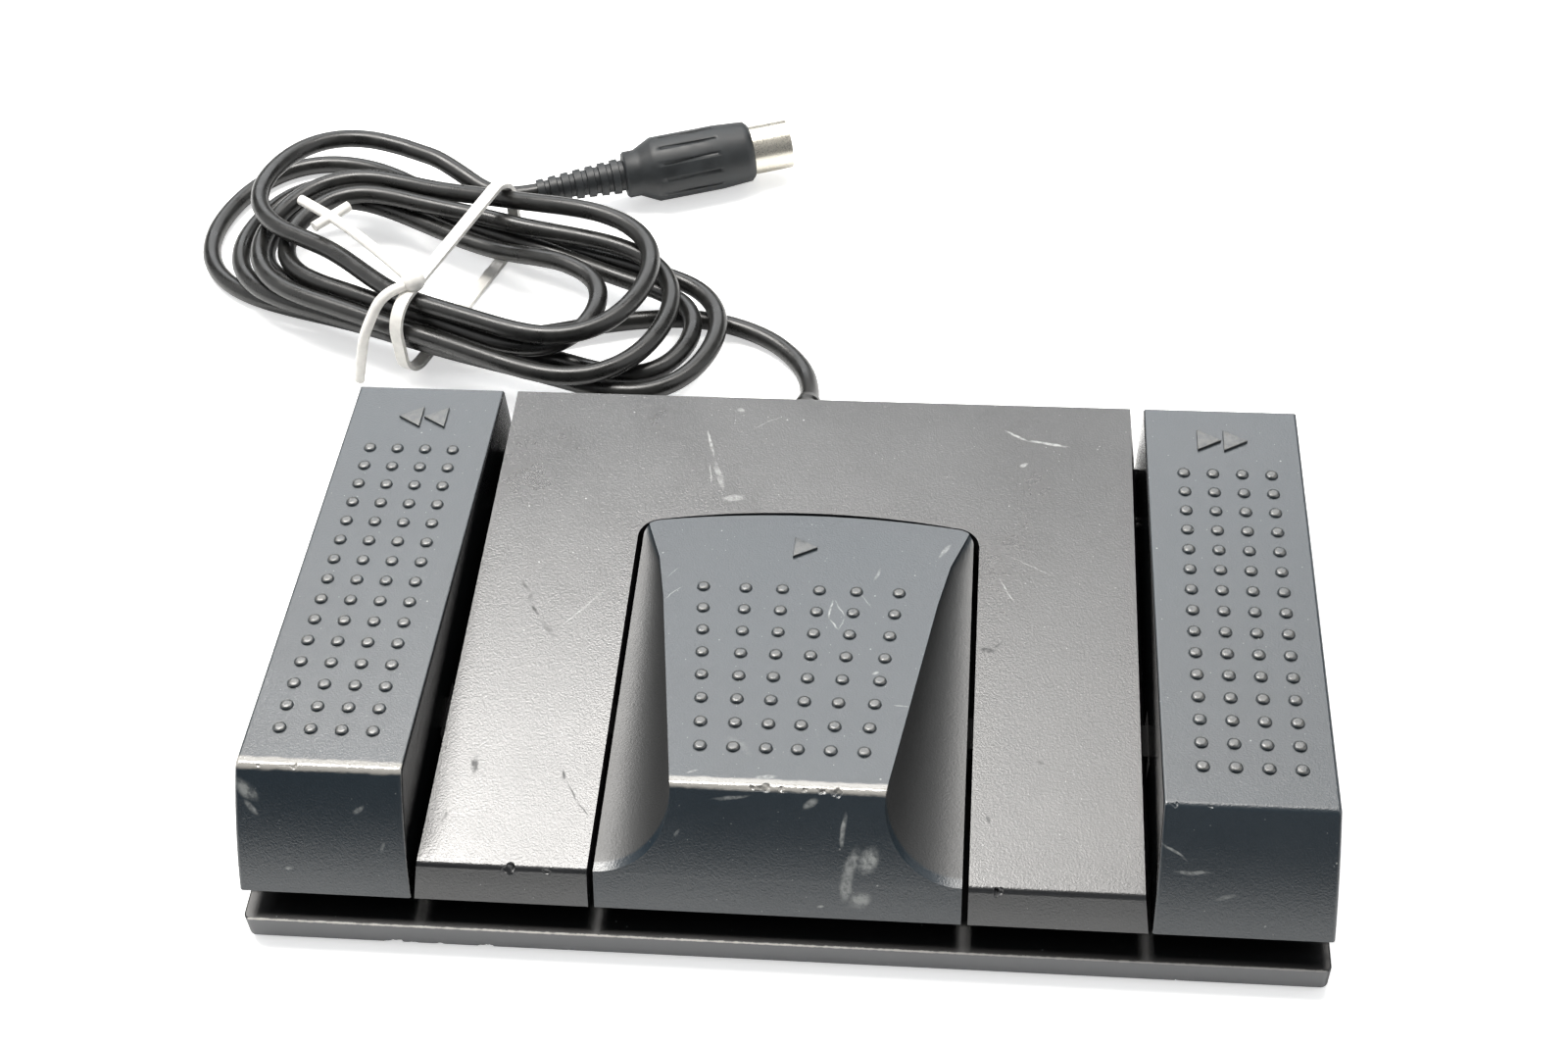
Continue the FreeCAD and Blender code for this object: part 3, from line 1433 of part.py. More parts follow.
def cord_tie():
    band = band_block(tie_thickness, tie_width).cut(band_block(0, 4 * tie_width))
    band.rotate(V(0, 0, 0), UP, hank_turn_deg)
    band.translate(hank_point(tie_knot[0] / 3, 0, 0))
    top = layer_z(3) + floor_z + tie_gap
    lift = top + tie_thickness + knot_radius * 0.4
    knot = Part.makeSphere(knot_radius, hank_point(tie_knot[0] / 3, tie_knot[1], lift))
    end_z = top + tie_end_radius + tie_rise
    first = hank_point(tie_knot[0] / 3, tie_knot[1], end_z)
    hook = [first] + [hank_point(u, v, end_z + rise) for u, v, rise in tie_hook]
    long_end = tube(route(hook, "tie end"), tie_end_radius)
    across = [hank_point(u, v, end_z + tie_rise) for u, v in tie_bar]
    bar = rod(tie_end_radius, across[0], (across[1] - across[0]).Length, across[1] - across[0])
    near = min(near_waist_v) - floor_z - tie_gap - tie_thickness - tie_end_radius - 0.8
    fall = [first, hank_point(tie_tail_x[0], near + tie_fall[0], end_z + tie_rise),
            hank_point(tie_tail_x[1], near - tie_fall[1], end_z * 2 / 3),
            hank_point(tie_tail_x[2], near - tie_fall[2], end_z / 3),
            hank_point(tie_tail_x[3], near - tie_fall[3], tie_end_radius + tie_floor_gap)]
    short_end = tube(route(fall, "tie tail"), tie_end_radius)
    return fuse([band, knot, long_end, bar, short_end])


# Write every piece

def main():
    save("base_tray", base_tray())
    save("bottom_plate", bottom_plate())
    save("rubber_feet", rubber_feet())
    plate_screw = screw(screw_radius, head_radius, foot_height - 0.2, base_top_z - screw_hole_depth - foot_height)
    save("plate_screws", screws_at([(x, y, foot_height) for x, y in plate_screw_places()], plate_screw))
    deck_screw = screw(screw_radius, head_radius, head_height, tray_skin + deck_screw_depth - deck_screw_gap)
    seat_z = base_top_z - tray_skin
    save("deck_screws", screws_at([(x, y, seat_z) for x, y in deck_boss_places()], deck_screw))
    save("deck_cover", deck_cover())
    save("back_pedal", mirror_x(side_pedal(2, 1)))
    save("play_pedal", play_pedal())
    save("ffwd_pedal", side_pedal(2, 1))
    save("back_hinge_pin", hinge_pin(side_pivot, -SIDE_X, side_knuckle_x))
    save("play_hinge_pin", hinge_pin(play_pivot, 0, play_knuckle_x))
    save("ffwd_hinge_pin", hinge_pin(side_pivot, SIDE_X, side_knuckle_x))
    clips = hinge_clips(side_pivot, -SIDE_X, side_knuckle_x) + hinge_clips(side_pivot, SIDE_X, side_knuckle_x)
    save("hinge_clips", Part.makeCompound(clips + hinge_clips(play_pivot, 0, play_knuckle_x)))
    for name, x, y in spring_places():
        save(name + "_spring", spring(x, y))
    for name, x, y in switch_places():
        save(name + "_switch", snap_switch(x, y))
        save(name + "_plunger", plunger(x, y))
    save("switch_lugs", switch_lugs())
    save("switch_screws", switch_screws())
    pads = [rod(pad_radius, V(x, y, base_top_z), pad_height) for x, y in pad_places()]
    save("stop_pads", Part.makeCompound(pads))
    save("terminal_board", terminal_board())
    small = screw(small_screw_radius, small_head_radius, small_head_height, board_thickness + board_stand)
    seats = [(x, y, board_z + board_thickness) for x, y in board_screw_places()]
    save("board_screws", screws_at(seats, small, True))
    clamp_top = cord_exit_z + cord_diameter / 2 + clamp_roof
    long_screw = screw(small_screw_radius, small_head_radius, small_head_height, clamp_top - base_top_z)
    save("clamp_screws", screws_at([(x, y, clamp_top) for x, y in clamp_screw_places()], long_screw, True))
    save("cord_clamp", cord_clamp())
    save("back_wires", back_wires())
    save("play_wires", play_wires())
    save("ffwd_wires", ffwd_wires())
    save("cord_conductors", cord_conductors())
    save("cord_inner", cord_inner())
    save("strain_relief", relief())
    save("cord_lead", cord_lead())
    edges = hank_edges()
    least_gap(edges, cord_diameter)
    save("cord_hank", tube(edges, cord_diameter / 2))
    save("cord_tail", cord_tail())
    save("cord_tie", cord_tie())
    save("plug_boot", plug_boot())
    save("plug_body", plug_body())
    save("plug_shell", plug_shell())
    save("plug_insulator", plug_insulator())
    save("plug_pins", plug_pins())


main()
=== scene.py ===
import json
import math

import bmesh
import bpy
from mathutils import Matrix, Vector, interpolate, noise
from mathutils.bvhtree import BVHTree
from mathutils.kdtree import KDTree


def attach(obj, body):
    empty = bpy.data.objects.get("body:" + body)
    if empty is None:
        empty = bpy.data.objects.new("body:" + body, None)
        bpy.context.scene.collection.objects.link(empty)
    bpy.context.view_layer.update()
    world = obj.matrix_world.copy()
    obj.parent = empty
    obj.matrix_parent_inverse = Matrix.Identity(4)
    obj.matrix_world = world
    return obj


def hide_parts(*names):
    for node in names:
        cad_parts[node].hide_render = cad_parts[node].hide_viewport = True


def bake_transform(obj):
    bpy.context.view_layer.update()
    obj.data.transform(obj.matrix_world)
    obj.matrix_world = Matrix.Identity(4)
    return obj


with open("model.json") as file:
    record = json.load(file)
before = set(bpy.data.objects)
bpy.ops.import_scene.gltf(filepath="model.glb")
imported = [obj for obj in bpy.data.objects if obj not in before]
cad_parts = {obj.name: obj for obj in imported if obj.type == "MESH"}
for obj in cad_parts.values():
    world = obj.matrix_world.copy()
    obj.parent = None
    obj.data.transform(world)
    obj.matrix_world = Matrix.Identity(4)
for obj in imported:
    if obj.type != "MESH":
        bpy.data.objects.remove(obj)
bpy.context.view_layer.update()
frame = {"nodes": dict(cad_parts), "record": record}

bl_info = {
    "name": "Transcription foot pedal",
    "version": (1, 0, 0),
    "blender": (4, 5, 0),
    "location": "View3D > Sidebar > Foot pedal",
    "description": "Three-treadle foot switch with its cord tied in a hank",
    "category": "Object",
}

MM = 0.001
V = Vector

# The outline that the treadles and the deck share, seen from the side, as (y, z) in millimetres
FACE_RADIUS = 80.0
COVER_LIP = (-64.5, 13.5)
PEDAL_NOSE = (-50.2, 37.6)
PEDAL_BACK = (66.1, 28.8)
SIDE_X = 92.15
BASE_TOP = 7.5
PLAY_NOSE_Z = 37.5
PLAY_BACK = (32.5, 25.5)


def face_centre():
    """Centre of the arc that all the front faces lie on."""
    run_y, run_z = PEDAL_NOSE[0] - COVER_LIP[0], PEDAL_NOSE[1] - COVER_LIP[1]
    chord = math.hypot(run_y, run_z)
    drop = math.sqrt(FACE_RADIUS ** 2 - (chord / 2) ** 2)
    middle_y, middle_z = (COVER_LIP[0] + PEDAL_NOSE[0]) / 2, (COVER_LIP[1] + PEDAL_NOSE[1]) / 2
    return middle_y + drop * run_z / chord, middle_z - drop * run_y / chord


FACE_Y, FACE_Z = face_centre()


def face_y(z):
    """Where the front face is at height z."""
    return FACE_Y - math.sqrt(FACE_RADIUS ** 2 - (z - FACE_Z) ** 2)


PLAY_NOSE = (face_y(PLAY_NOSE_Z), PLAY_NOSE_Z)


# Colour and nodes

# Kinds of node, each a type and its settings. A noise's scale is in features per metre.
(TIMES, PLUS, MINUS, OVER, POWER, ROOT, LARGER, LESS, MORE, SIZE, SIGN) = [
    ("ShaderNodeMath", {"operation": name}) for name in (
        "MULTIPLY", "ADD", "SUBTRACT", "DIVIDE", "POWER", "SQRT", "MAXIMUM", "LESS_THAN", "GREATER_THAN", "ABSOLUTE",
        "SIGN")]
V_TIMES_PLUS, V_PLUS, V_LENGTH = [("ShaderNodeVectorMath", {"operation": name})
                                  for name in ("MULTIPLY_ADD", "ADD", "LENGTH")]
SPAN = ("ShaderNodeMapRange", {"interpolation_type": "SMOOTHSTEP"})
TINT = ("ShaderNodeMix", {"data_type": "RGBA"})
INTO_BOX = ("ShaderNodeMapping", {"vector_type": "TEXTURE"})
STRETCH = "ShaderNodeMapping"
NOISE = "ShaderNodeTexNoise"
BUMP = "ShaderNodeBump"
JOINED = "ShaderNodeCombineXYZ"
# Where most values of a noise lie
MOST = (0.3, 0.7)


def linear(code):
    """An sRGB hex colour as linear RGBA."""
    parts = [int(code[i:i + 2], 16) / 255 for i in (1, 3, 5)]
    return [c / 12.92 if c <= 0.04045 else ((c + 0.055) / 1.055) ** 2.4 for c in parts] + [1.0]


def put(tree, kind, *values, named=()):
    """Adds a node and gives its first output. Values go into its inputs in their order, where None leaves one as it
    is, and named values into the inputs of that name. A value that is a socket is linked."""
    name, settings = (kind, {}) if isinstance(kind, str) else kind
    node = tree.nodes.new(name)
    for key, value in settings.items():
        setattr(node, key, value)
    pairs = list(zip([socket for socket in node.inputs if socket.enabled], values))
    pairs += [(node.inputs[key], value) for key, value in dict(named).items()]
    for socket, value in pairs:
        if isinstance(value, bpy.types.NodeSocket):
            tree.links.new(value, socket)
        elif value is not None:
            socket.default_value = value
    return next((socket for socket in node.outputs if socket.enabled), None)


def fold(tree, kind, first, *rest):
    """One kind of sum over several values, from left to right."""
    for value in rest:
        first = put(tree, kind, first, value)
    return first


def axes(tree, place):
    """The three parts of a place."""
    return tuple(put(tree, "ShaderNodeSeparateXYZ", place).node.outputs)


def blank(name):
    """A new material with an empty tree, and its object coordinates."""
    made = bpy.data.materials.new(name)
    made.use_nodes = True
    tree = made.node_tree
    tree.nodes.clear()
    return made, tree, put(tree, "ShaderNodeTexCoord").node.outputs["Object"]


def surfaced(made, values):
    """Ends a material in a shader with these named inputs."""
    shader = put(made.node_tree, "ShaderNodeBsdfPrincipled", named=values)
    put(made.node_tree, "ShaderNodeOutputMaterial", shader)
    return made


# Finishes

# Marks seen from above: x, y, turn in degrees, length, width in millimetres, strength
DECK_RUBS = [
    (-61.2, 9.7, -58, 6, 1, 0.8), (-59.8, 6.6, -88, 3.6, 1.5, 0.7), (-58.2, 3.4, -51, 6.2, 0.9, 1),
    (-54.6, -1.6, -57, 8, 1.5, 0.6), (-64.6, -37.2, -85, 6, 2.2, 0.7), (-64.9, -38.4, -60, 3, 1, 0.6),
    (-45.8, -38.7, -80, 3, 1, 0.9), (-43.6, -42.7, -60, 7.2, 0.5, 0.8), (-40.6, -46.9, -45, 5, 0.45, 0.6),
    (40.6, -3, 5, 4.6, 2.2, 0.9), (42.8, -1.5, 42, 4.2, 0.8, 0.8), (-69, -50, 80, 4, 1.2, 0.4),
    (52, -31, -40, 1.6, 1, 0.7), (41.5, -45, -70, 2.4, 0.9, 0.6),
]
DECK_SCUFFS = [
    (-24.4, 53, -75, 10, 0.9, 0.8), (-21.6, 43.6, -72, 10, 2, 0.5), (-23.6, 44, -80, 7, 0.5, 0.5),
    (-17.6, 36.9, 10, 6.5, 2.6, 0.45), (45.9, 58.1, -27, 7.4, 0.8, 0.9), (53, 56, -9, 11, 1.1, 1),
    (47.6, 49.2, 30, 2.6, 1.2, 0.8), (-18.4, 63.6, 0, 2.6, 1.8, 0.5), (44.4, 13.2, -62, 9, 0.45, 0.6),
    (-47.6, 4.3, 52, 17, 0.6, 0.45), (50, 20, -28, 14, 0.4, 0.4), (-12, 60, 35, 9, 0.35, 0.35),
]
PLAY_SCUFFS = [
    (6.8, 1.8, -93, 7.4, 0.6, 1), (7.9, -2.9, -52, 4.6, 0.6, 0.9), (8.7, 2.3, -62, 7.2, 0.45, 0.7),
    (9.5, -2.4, -105, 4.6, 0.45, 0.7), (23.2, -26.4, -5, 4.2, 0.4, 0.7), (26.3, -28.3, -50, 5.4, 0.35, 0.6),
    (30.5, 22, 60, 6, 1.2, 0.8), (-27.5, 5.5, 50, 6, 0.3, 0.8), (-28.5, 12, 62, 5, 0.25, 0.7),
    (16.2, 13.4, 70, 5, 0.9, 0.45), (14.2, 5, -60, 6, 0.35, 0.5), (-17, -47, 20, 3, 0.8, 0.5),
    (17.6, -17, 40, 2.2, 1.2, 0.7), (-2.5, -47.6, 5, 5, 1.6, 0.7),
]
# The same on front faces, seen from the front: x and z in place of x and y
FACE_SCUFFS = [
    (13.2, 31, 84, 7, 1.3, 0.9), (14.8, 24.8, 70, 9, 3.4, 0.8), (18.2, 25.8, 60, 7, 4.6, 1),
    (14, 20.5, 82, 8, 3.2, 0.9), (16.6, 17.8, 20, 6, 4.4, 0.9), (6.6, 35.2, 25, 4, 1.6, 0.7),
    (8.8, 16, 0, 1.6, 0.8, 1), (-9, 35.6, 5, 9, 0.8, 0.6), (-20, 29.4, 50, 2.2, 0.9, 0.4),
    (-107, 33.5, -30, 7, 3, 0.7), (-106, 30.5, -45, 5, 1.4, 0.6), (-99, 19, 10, 2.2, 1, 1),
    (-84, 30.8, 30, 3.4, 1.4, 0.4), (-79.5, 24, 70, 3, 1, 0.4), (77.5, 30, -25, 7, 0.7, 0.8),
    (81.5, 26.4, 0, 9, 1, 0.7), (88, 22, 15, 6, 1, 0.4),
]
# The noise that tears a mark's outline: its scale, and how far it moves the outline, in millimetres
MARK_NOISE = 260.0
MARK_JITTER = 1.3
# Marks on front faces go through the surface here, this deep, in millimetres
FACE_MARK_Y = -57.0
FACE_MARK_DEPTH = 25.0


def marks(tree, place, rows, upright=False):
    """Share of scuffs and scratches. Each is a torn, tapered streak through the surface."""
    jitter = put(tree, V_TIMES_PLUS, put(tree, NOISE, place, MARK_NOISE, 4.0).node.outputs["Color"],
                 (MARK_JITTER * MM,) * 3, (-MARK_JITTER / 2 * MM,) * 3)
    shaken = put(tree, V_PLUS, place, jitter)
    shares = []
    for x, y, turn, length, width, strength in rows:
        half_length, half_width, turn = length / 2 * MM, width / 2 * MM, math.radians(turn)
        if upright:
            box = ((x * MM, FACE_MARK_Y * MM, y * MM), (0, -turn, 0), (half_length, FACE_MARK_DEPTH * MM, half_width))
        else:
            box = ((x * MM, y * MM, 0), (0, 0, turn), (half_length, half_width, 1.0))
        off = put(tree, V_LENGTH, put(tree, INTO_BOX, shaken, *box))
        shares.append(put(tree, SPAN, off, 0.35, 1.0, strength, 0.0))
    return fold(tree, LARGER, *shares)


def specks(tree, place, spacing_mm, radius_mm, kept):
    """Dust and lint: a few pale dots, one to a cell, of which a share is kept."""
    off = put(tree, "ShaderNodeTexVoronoi", place, 1000 / spacing_mm)
    size = radius_mm / spacing_mm
    dot = put(tree, SPAN, off, 0.5 * size, size, 1.0, 0.0)
    chance = put(tree, "ShaderNodeSeparateColor", off.node.outputs["Color"])
    return put(tree, TIMES, dot, put(tree, LESS, chance, kept))


def ragged_edge_band(tree, place, line, patches, ragged, full, end):
    """Share of a ragged band on an edge that runs along X at line, a (y, z) place: the noses' polish with their
    painted highlight, and the base's painted edge highlight. Ragged is how far the patches push its rim, and full and
    end are its reach, all in millimetres."""
    squares = [put(tree, POWER, put(tree, MINUS, part, at * MM), 2.0)
               for part, at in zip(axes(tree, place)[1:], line)]
    rim = fold(tree, PLUS, put(tree, ROOT, put(tree, PLUS, *squares)),
               put(tree, SPAN, patches, *MOST, -ragged * MM, ragged * MM))
    return put(tree, SPAN, rim, full * MM, end * MM, 1.0, 0.0)


# The polish and painted highlight on a nose, in millimetres: its middle behind the corner, its ragged rim, and where
# it is full and ends
POLISH_HIGHLIGHT_BACK = 0.7
POLISH_HIGHLIGHT_RAGGED = 0.15
POLISH_HIGHLIGHT_FULL = 0.9
POLISH_HIGHLIGHT_END = 1.7
# Treadles right of this have a nose without polish and without its painted highlight, over this stretch, in
# millimetres
DULL_FROM = (55.0, 60.0)
# How far above a treadle's top a dot or sign starts to be rubbed pale, and is fully so, in millimetres
WORN = (0.3, 0.5)
# The outer treadles' walls toward the deck stand between these distances from the middle, in millimetres, and lean
INNER_WALL = (44.6, 74.1)
WALL_LEAN = 0.033
# The outline's front face rises from the lip at this lean, and ends this far behind it, in millimetres
FACE_LEAN = 0.593
FACE_END = (0.4, 1.4)
# The scooped flanks of the middle treadle are full this far below its top, start here, and lie outside these x
SCOOP = (-1.6, -0.5)
SCOOP_X = (18.0, 22.0)
# The treadles' stop tabs lie under the slits: y from and to, z up to and x from, in millimetres
TAB = (-27.0, -13.0, 18.5, 34.0)


def treadle_zones(tree, place):
    """Shares of the treadles' zones: the front faces, the tops of dots and signs, the walls that the outer ones turn
    to the deck, the middle one's scooped flanks and the stop tabs."""
    x, y, z = axes(tree, place)
    out = put(tree, SIZE, x)
    middle = put(tree, LESS, out, INNER_WALL[0] * MM)
    above = []
    for nose, back in ((PEDAL_NOSE, PEDAL_BACK), (PLAY_NOSE, PLAY_BACK)):
        slope = (back[1] - nose[1]) / (back[0] - nose[0])
        level = put(tree, PLUS, put(tree, TIMES, y, slope), (nose[1] - slope * nose[0]) * MM)
        above.append(put(tree, MINUS, z, level))
    wear_and_highlight = [put(tree, SPAN, height, WORN[0] * MM, WORN[1] * MM) for height in above]
    tops = put(tree, LARGER, put(tree, TIMES, wear_and_highlight[0], put(tree, MINUS, 1.0, middle)),
               put(tree, TIMES, wear_and_highlight[1], middle))
    rise = put(tree, TIMES, put(tree, MINUS, z, COVER_LIP[1] * MM), FACE_LEAN)
    behind = put(tree, MINUS, put(tree, MINUS, y, COVER_LIP[0] * MM), rise)
    face = put(tree, SPAN, behind, FACE_END[0] * MM, FACE_END[1] * MM, 1.0, 0.0)
    across = put(tree, MINUS, out, put(tree, TIMES, z, WALL_LEAN))
    wall = put(tree, TIMES, put(tree, MORE, across, INNER_WALL[0] * MM), put(tree, LESS, across, INNER_WALL[1] * MM))
    flank = fold(tree, TIMES, put(tree, SPAN, above[1], SCOOP[0] * MM, SCOOP[1] * MM, 1.0, 0.0), middle,
                 put(tree, SPAN, out, SCOOP_X[0] * MM, SCOOP_X[1] * MM), put(tree, MINUS, 1.0, face))
    tab = fold(tree, TIMES, *[put(tree, kind, part, limit * MM)
                              for kind, part, limit in zip((MORE, LESS, LESS, MORE), (y, y, z, out), TAB)])
    return face, tops, wall, flank, tab


# Grain of the moulded ABS, in millimetres. The real one is about 0.1, too fine to show here.
GRAIN_MM = 0.45


def moulded_abs(name, dark, light, grain_depth_mm, roughness, scuffs, face_scuffs=(), rubs=(), noses=()):
    """Injection-moulded ABS with a spark-eroded satin grain, drawn as coarse as it has to be to show. Years under
    shoes leave dust, pale scuffs that hold chalk and a few dark rubs, and polish the treadles' noses. On the
    treadles a pale painted highlight runs along the polished noses, and painted shade darkens the front faces, the
    walls toward the deck, the middle treadle's scooped flanks and the stop tabs."""
    made, tree, place = blank(name)
    grain = put(tree, NOISE, place, 1000 / GRAIN_MM, 2.0, 0.6)
    mottle = put(tree, NOISE, place, 30, 5.0, 0.65)
    fine = put(tree, NOISE, place, 700, 3.0, 0.6)
    colour = put(tree, TINT, put(tree, SPAN, mottle, *MOST), dark, light)
    rough = put(tree, SPAN, mottle, *MOST, roughness - 0.03, roughness + 0.03)
    if noses:
        face, tops, wall, flank, tab = treadle_zones(tree, place)
        # Painted shade: the treadles' front faces are tinted darker and bluer than their tops.
        colour = put(tree, TINT, put(tree, TIMES, face, 0.8), colour, linear("#10202a"))
    torn = put(tree, SPAN, fine, 0.3, 0.62, 0.25, 1.0)
    hair = put(tree, NOISE, put(tree, STRETCH, place, None, None, (0.12, 1.0, 1.0)), 110, 3.0, 0.5)
    hairline = put(tree, TIMES, put(tree, SPAN, hair, 0.76, 0.78), put(tree, SPAN, fine, 0.48, 0.6, 0.0, 0.3))
    scuffed = [put(tree, TIMES, marks(tree, place, rows, upright), torn)
               for rows, upright in ((scuffs, False), (face_scuffs, True)) if rows]
    pale = fold(tree, LARGER, put(tree, TIMES, specks(tree, place, 4.0, 0.26, 0.2), 0.8), hairline,
                put(tree, TIMES, specks(tree, place, 1.5, 0.15, 0.3), 0.7), *scuffed)
    colour = put(tree, TINT, put(tree, TIMES, pale, 0.85), colour, linear("#a3a6a4"))
    rough = put(tree, PLUS, rough, put(tree, TIMES, pale, 0.3))
    if rubs:
        rub_and_highlight = put(tree, TIMES, marks(tree, place, rubs), torn)
        colour = put(tree, TINT, rub_and_highlight, colour, linear("#101112"))
        rough = put(tree, PLUS, rough, put(tree, TIMES, rub_and_highlight, 0.45))
    if noses:
        patchy = put(tree, NOISE, put(tree, STRETCH, place, None, None, (0.6, 1.0, 1.0)), 500, 3.0, 0.6)
        shiny = put(tree, SPAN, axes(tree, place)[0], DULL_FROM[0] * MM, DULL_FROM[1] * MM, 1.0, 0.0)
        # Each nose is polished: its roughness drops, and its pale tint is a painted highlight line along it.
        for y, z in noses:
            wear_and_highlight = put(tree, TIMES, shiny, ragged_edge_band(tree, place, (y + POLISH_HIGHLIGHT_BACK, z), patchy, POLISH_HIGHLIGHT_RAGGED,
                                                       POLISH_HIGHLIGHT_FULL, POLISH_HIGHLIGHT_END))
            rough = put(tree, TIMES, rough, put(tree, MINUS, 1.0, put(tree, TIMES, wear_and_highlight, 0.4)))
            colour = put(tree, TINT, put(tree, TIMES, wear_and_highlight, 0.55), colour, linear("#aaa7a1"))
        colour = put(tree, TINT, fold(tree, TIMES, tops, torn, 0.3), colour, linear("#7b766c"))
        # Painted shade: the walls facing the deck, down in the slits, are painted near black. Their roughness drops,
        # and the whole treadle's roughness drops by a fifth.
        rough = put(tree, TIMES, rough, put(tree, MINUS, 0.8, put(tree, TIMES, wall, 0.45)))
        colour = put(tree, TINT, wall, colour, linear("#08090a"))
        # Painted shade: the middle treadle's scooped flanks are painted darker and the stop tabs near black, both
        # rougher. The tab span also darkens the low edge of the outer treadles' walls.
        for zone, tone, matter in ((flank, "#1c1d1d", 0.18), (tab, "#030303", 1.0)):
            colour = put(tree, TINT, zone, colour, linear(tone))
            rough = put(tree, PLUS, rough, put(tree, TIMES, zone, matter))
    return surfaced(made, {"Base Color": colour, "Roughness": rough, "IOR": 1.54, "Specular IOR Level": 1.0,
                           "Normal": put(tree, BUMP, 0.8, grain_depth_mm * MM, None, grain)})


# The base's front wall, in millimetres: its plane, and the painted highlight on its top edge: its ragged rim and
# where it is full and ends
BASE_FRONT = -67.5
EDGE_HIGHLIGHT_RAGGED = 0.06
EDGE_HIGHLIGHT_FULL = 0.2
EDGE_HIGHLIGHT_END = 0.36


def gloss_abs():
    """Black ABS of the base: a polished top with hairline scratches and a little dust, and a matter front wall
    painted mid grey as a painted reflection of the floor, with a painted highlight line along the edge between them.
    The core side of the moulding, under the deck and the treadles, stays matt."""
    made, tree, place = blank("gloss_abs_black")
    hair = put(tree, NOISE, put(tree, STRETCH, place, None, None, (0.06, 1.0, 1.0)), 220, 3.0, 0.5)
    fine = put(tree, NOISE, place, 900, 3.0, 0.6)
    dust = specks(tree, place, 2.4, 0.2, 0.25)
    x, y, z = axes(tree, place)
    wall = put(tree, SPAN, y, (BASE_FRONT + 0.1) * MM, (BASE_FRONT + 0.3) * MM, 1.0, 0.0)
    matt = put(tree, TIMES, put(tree, SPAN, y, (COVER_LIP[0] + 3) * MM, (COVER_LIP[0] + 5) * MM),
               put(tree, SPAN, z, (BASE_TOP - 0.3) * MM, (BASE_TOP - 0.1) * MM))
    # Painted highlight: a near-white line along the top front edge, fading toward the right.
    rub_and_highlight = put(tree, TIMES, ragged_edge_band(tree, place, (BASE_FRONT, BASE_TOP), fine, EDGE_HIGHLIGHT_RAGGED, EDGE_HIGHLIGHT_FULL, EDGE_HIGHLIGHT_END),
              put(tree, SPAN, x, -20 * MM, 80 * MM, 1.0, 0.3))
    # Painted reflection: the front wall, of the same black plastic, is painted mid grey for the pale floor that it
    # faces.
    colour = put(tree, TINT, wall, linear("#0c0c0d"), linear("#6e6f71"))
    colour = put(tree, TINT, put(tree, TIMES, dust, 0.5), colour, linear("#8b8e8e"))
    colour = put(tree, TINT, rub_and_highlight, colour, linear("#d6d3cd"))
    rough = fold(tree, PLUS, put(tree, SPAN, hair, 0.6, 0.75, 0.32, 0.4), put(tree, TIMES, dust, 0.4),
                 put(tree, TIMES, wall, 0.15), put(tree, TIMES, matt, 0.6))
    return surfaced(made, {"Base Color": colour, "Roughness": rough, "IOR": 1.5,
                           "Normal": put(tree, BUMP, 0.3, 0.02 * MM, None, fine)})


def soft_pvc(name, dark, light, roughness):
    """Extruded PVC jacket: smooth and a little waxy, dulled here and there by handling."""
    made, tree, place = blank(name)
    bloom = put(tree, NOISE, place, 220, 4.0, 0.6)
    fine = put(tree, NOISE, place, 2600, 2.0)
    return surfaced(made, {"Base Color": put(tree, TINT, put(tree, SPAN, bloom, 0.35, 0.7), dark, light),
                           "Roughness": put(tree, SPAN, bloom, *MOST, roughness - 0.05, roughness + 0.07),
                           "IOR": 1.53, "Normal": put(tree, BUMP, 0.4, 0.02 * MM, None, fine)})


def plain_metal(name, code, roughness, streak_scale=900):
    """Turned, stamped or drawn metal with fine tool marks."""
    made, tree, place = blank(name)
    tool = put(tree, NOISE, put(tree, STRETCH, place, None, None, (1.0, 0.15, 1.0)), streak_scale, 3.0, 0.6)
    return surfaced(made, {"Base Color": linear(code), "Metallic": 1.0,
                           "Roughness": put(tree, SPAN, tool, *MOST, roughness - 0.06, roughness + 0.1),
                           "Normal": put(tree, BUMP, 0.3, 0.01 * MM, None, tool)})


def tie_plastic(dark, light):
    """Natural white nylon or PE of the cord tie: slightly translucent, satin."""
    made, tree, place = blank("moulded_pe_white")
    cast = put(tree, NOISE, place, 400, 3.0)
    return surfaced(made, {"Base Color": put(tree, TINT, put(tree, SPAN, cast, *MOST), dark, light),
                           "Roughness": 0.4, "IOR": 1.5, "Subsurface Weight": 0.15,
                           "Subsurface Radius": (1.5 * MM, 1.5 * MM, 1.5 * MM),
                           "Normal": put(tree, BUMP, 0.3, 0.05 * MM, None, cast)})


def moulded_part(name, code, roughness, grain=1500):
    """Small moulded or stamped part of one colour with a fine grain and a slight cloudiness."""
    made, tree, place = blank(name)
    fine = put(tree, NOISE, place, grain, 3.0)
    shade = linear(code)
    lighter = [min(1.0, c * 1.35 + 0.004) for c in shade[:3]] + [1.0]
    return surfaced(made, {"Base Color": put(tree, TINT, put(tree, SPAN, fine, 0.35, 0.65), shade, lighter),
                           "Roughness": put(tree, SPAN, fine, *MOST, roughness - 0.05, roughness + 0.05),
                           "Normal": put(tree, BUMP, 0.5, 0.04 * MM, None, fine)})


def colour_prop(name, code):
    """A colour that the user may change, from an sRGB hex value."""
    return bpy.props.FloatVectorProperty(name=name, description=name + " of the plastic", subtype="COLOR", size=3,
                                         min=0.0, max=1.0, default=linear(code)[:3])


class PedalFinishSettings(bpy.types.PropertyGroup):
    treadles: colour_prop("Treadle colour", "#1a2329")
    deck: colour_prop("Deck colour", "#17181a")
    cord: colour_prop("Cord colour", "#191918")
    plug: colour_prop("Plug colour", "#1c1f21")
    tie: colour_prop("Tie colour", "#e3e1dc")


def pair(colour, lift):
    """A colour and its lighter cast, as linear RGBA."""
    return [*colour, 1.0], [min(1.0, part * lift) for part in colour] + [1.0]


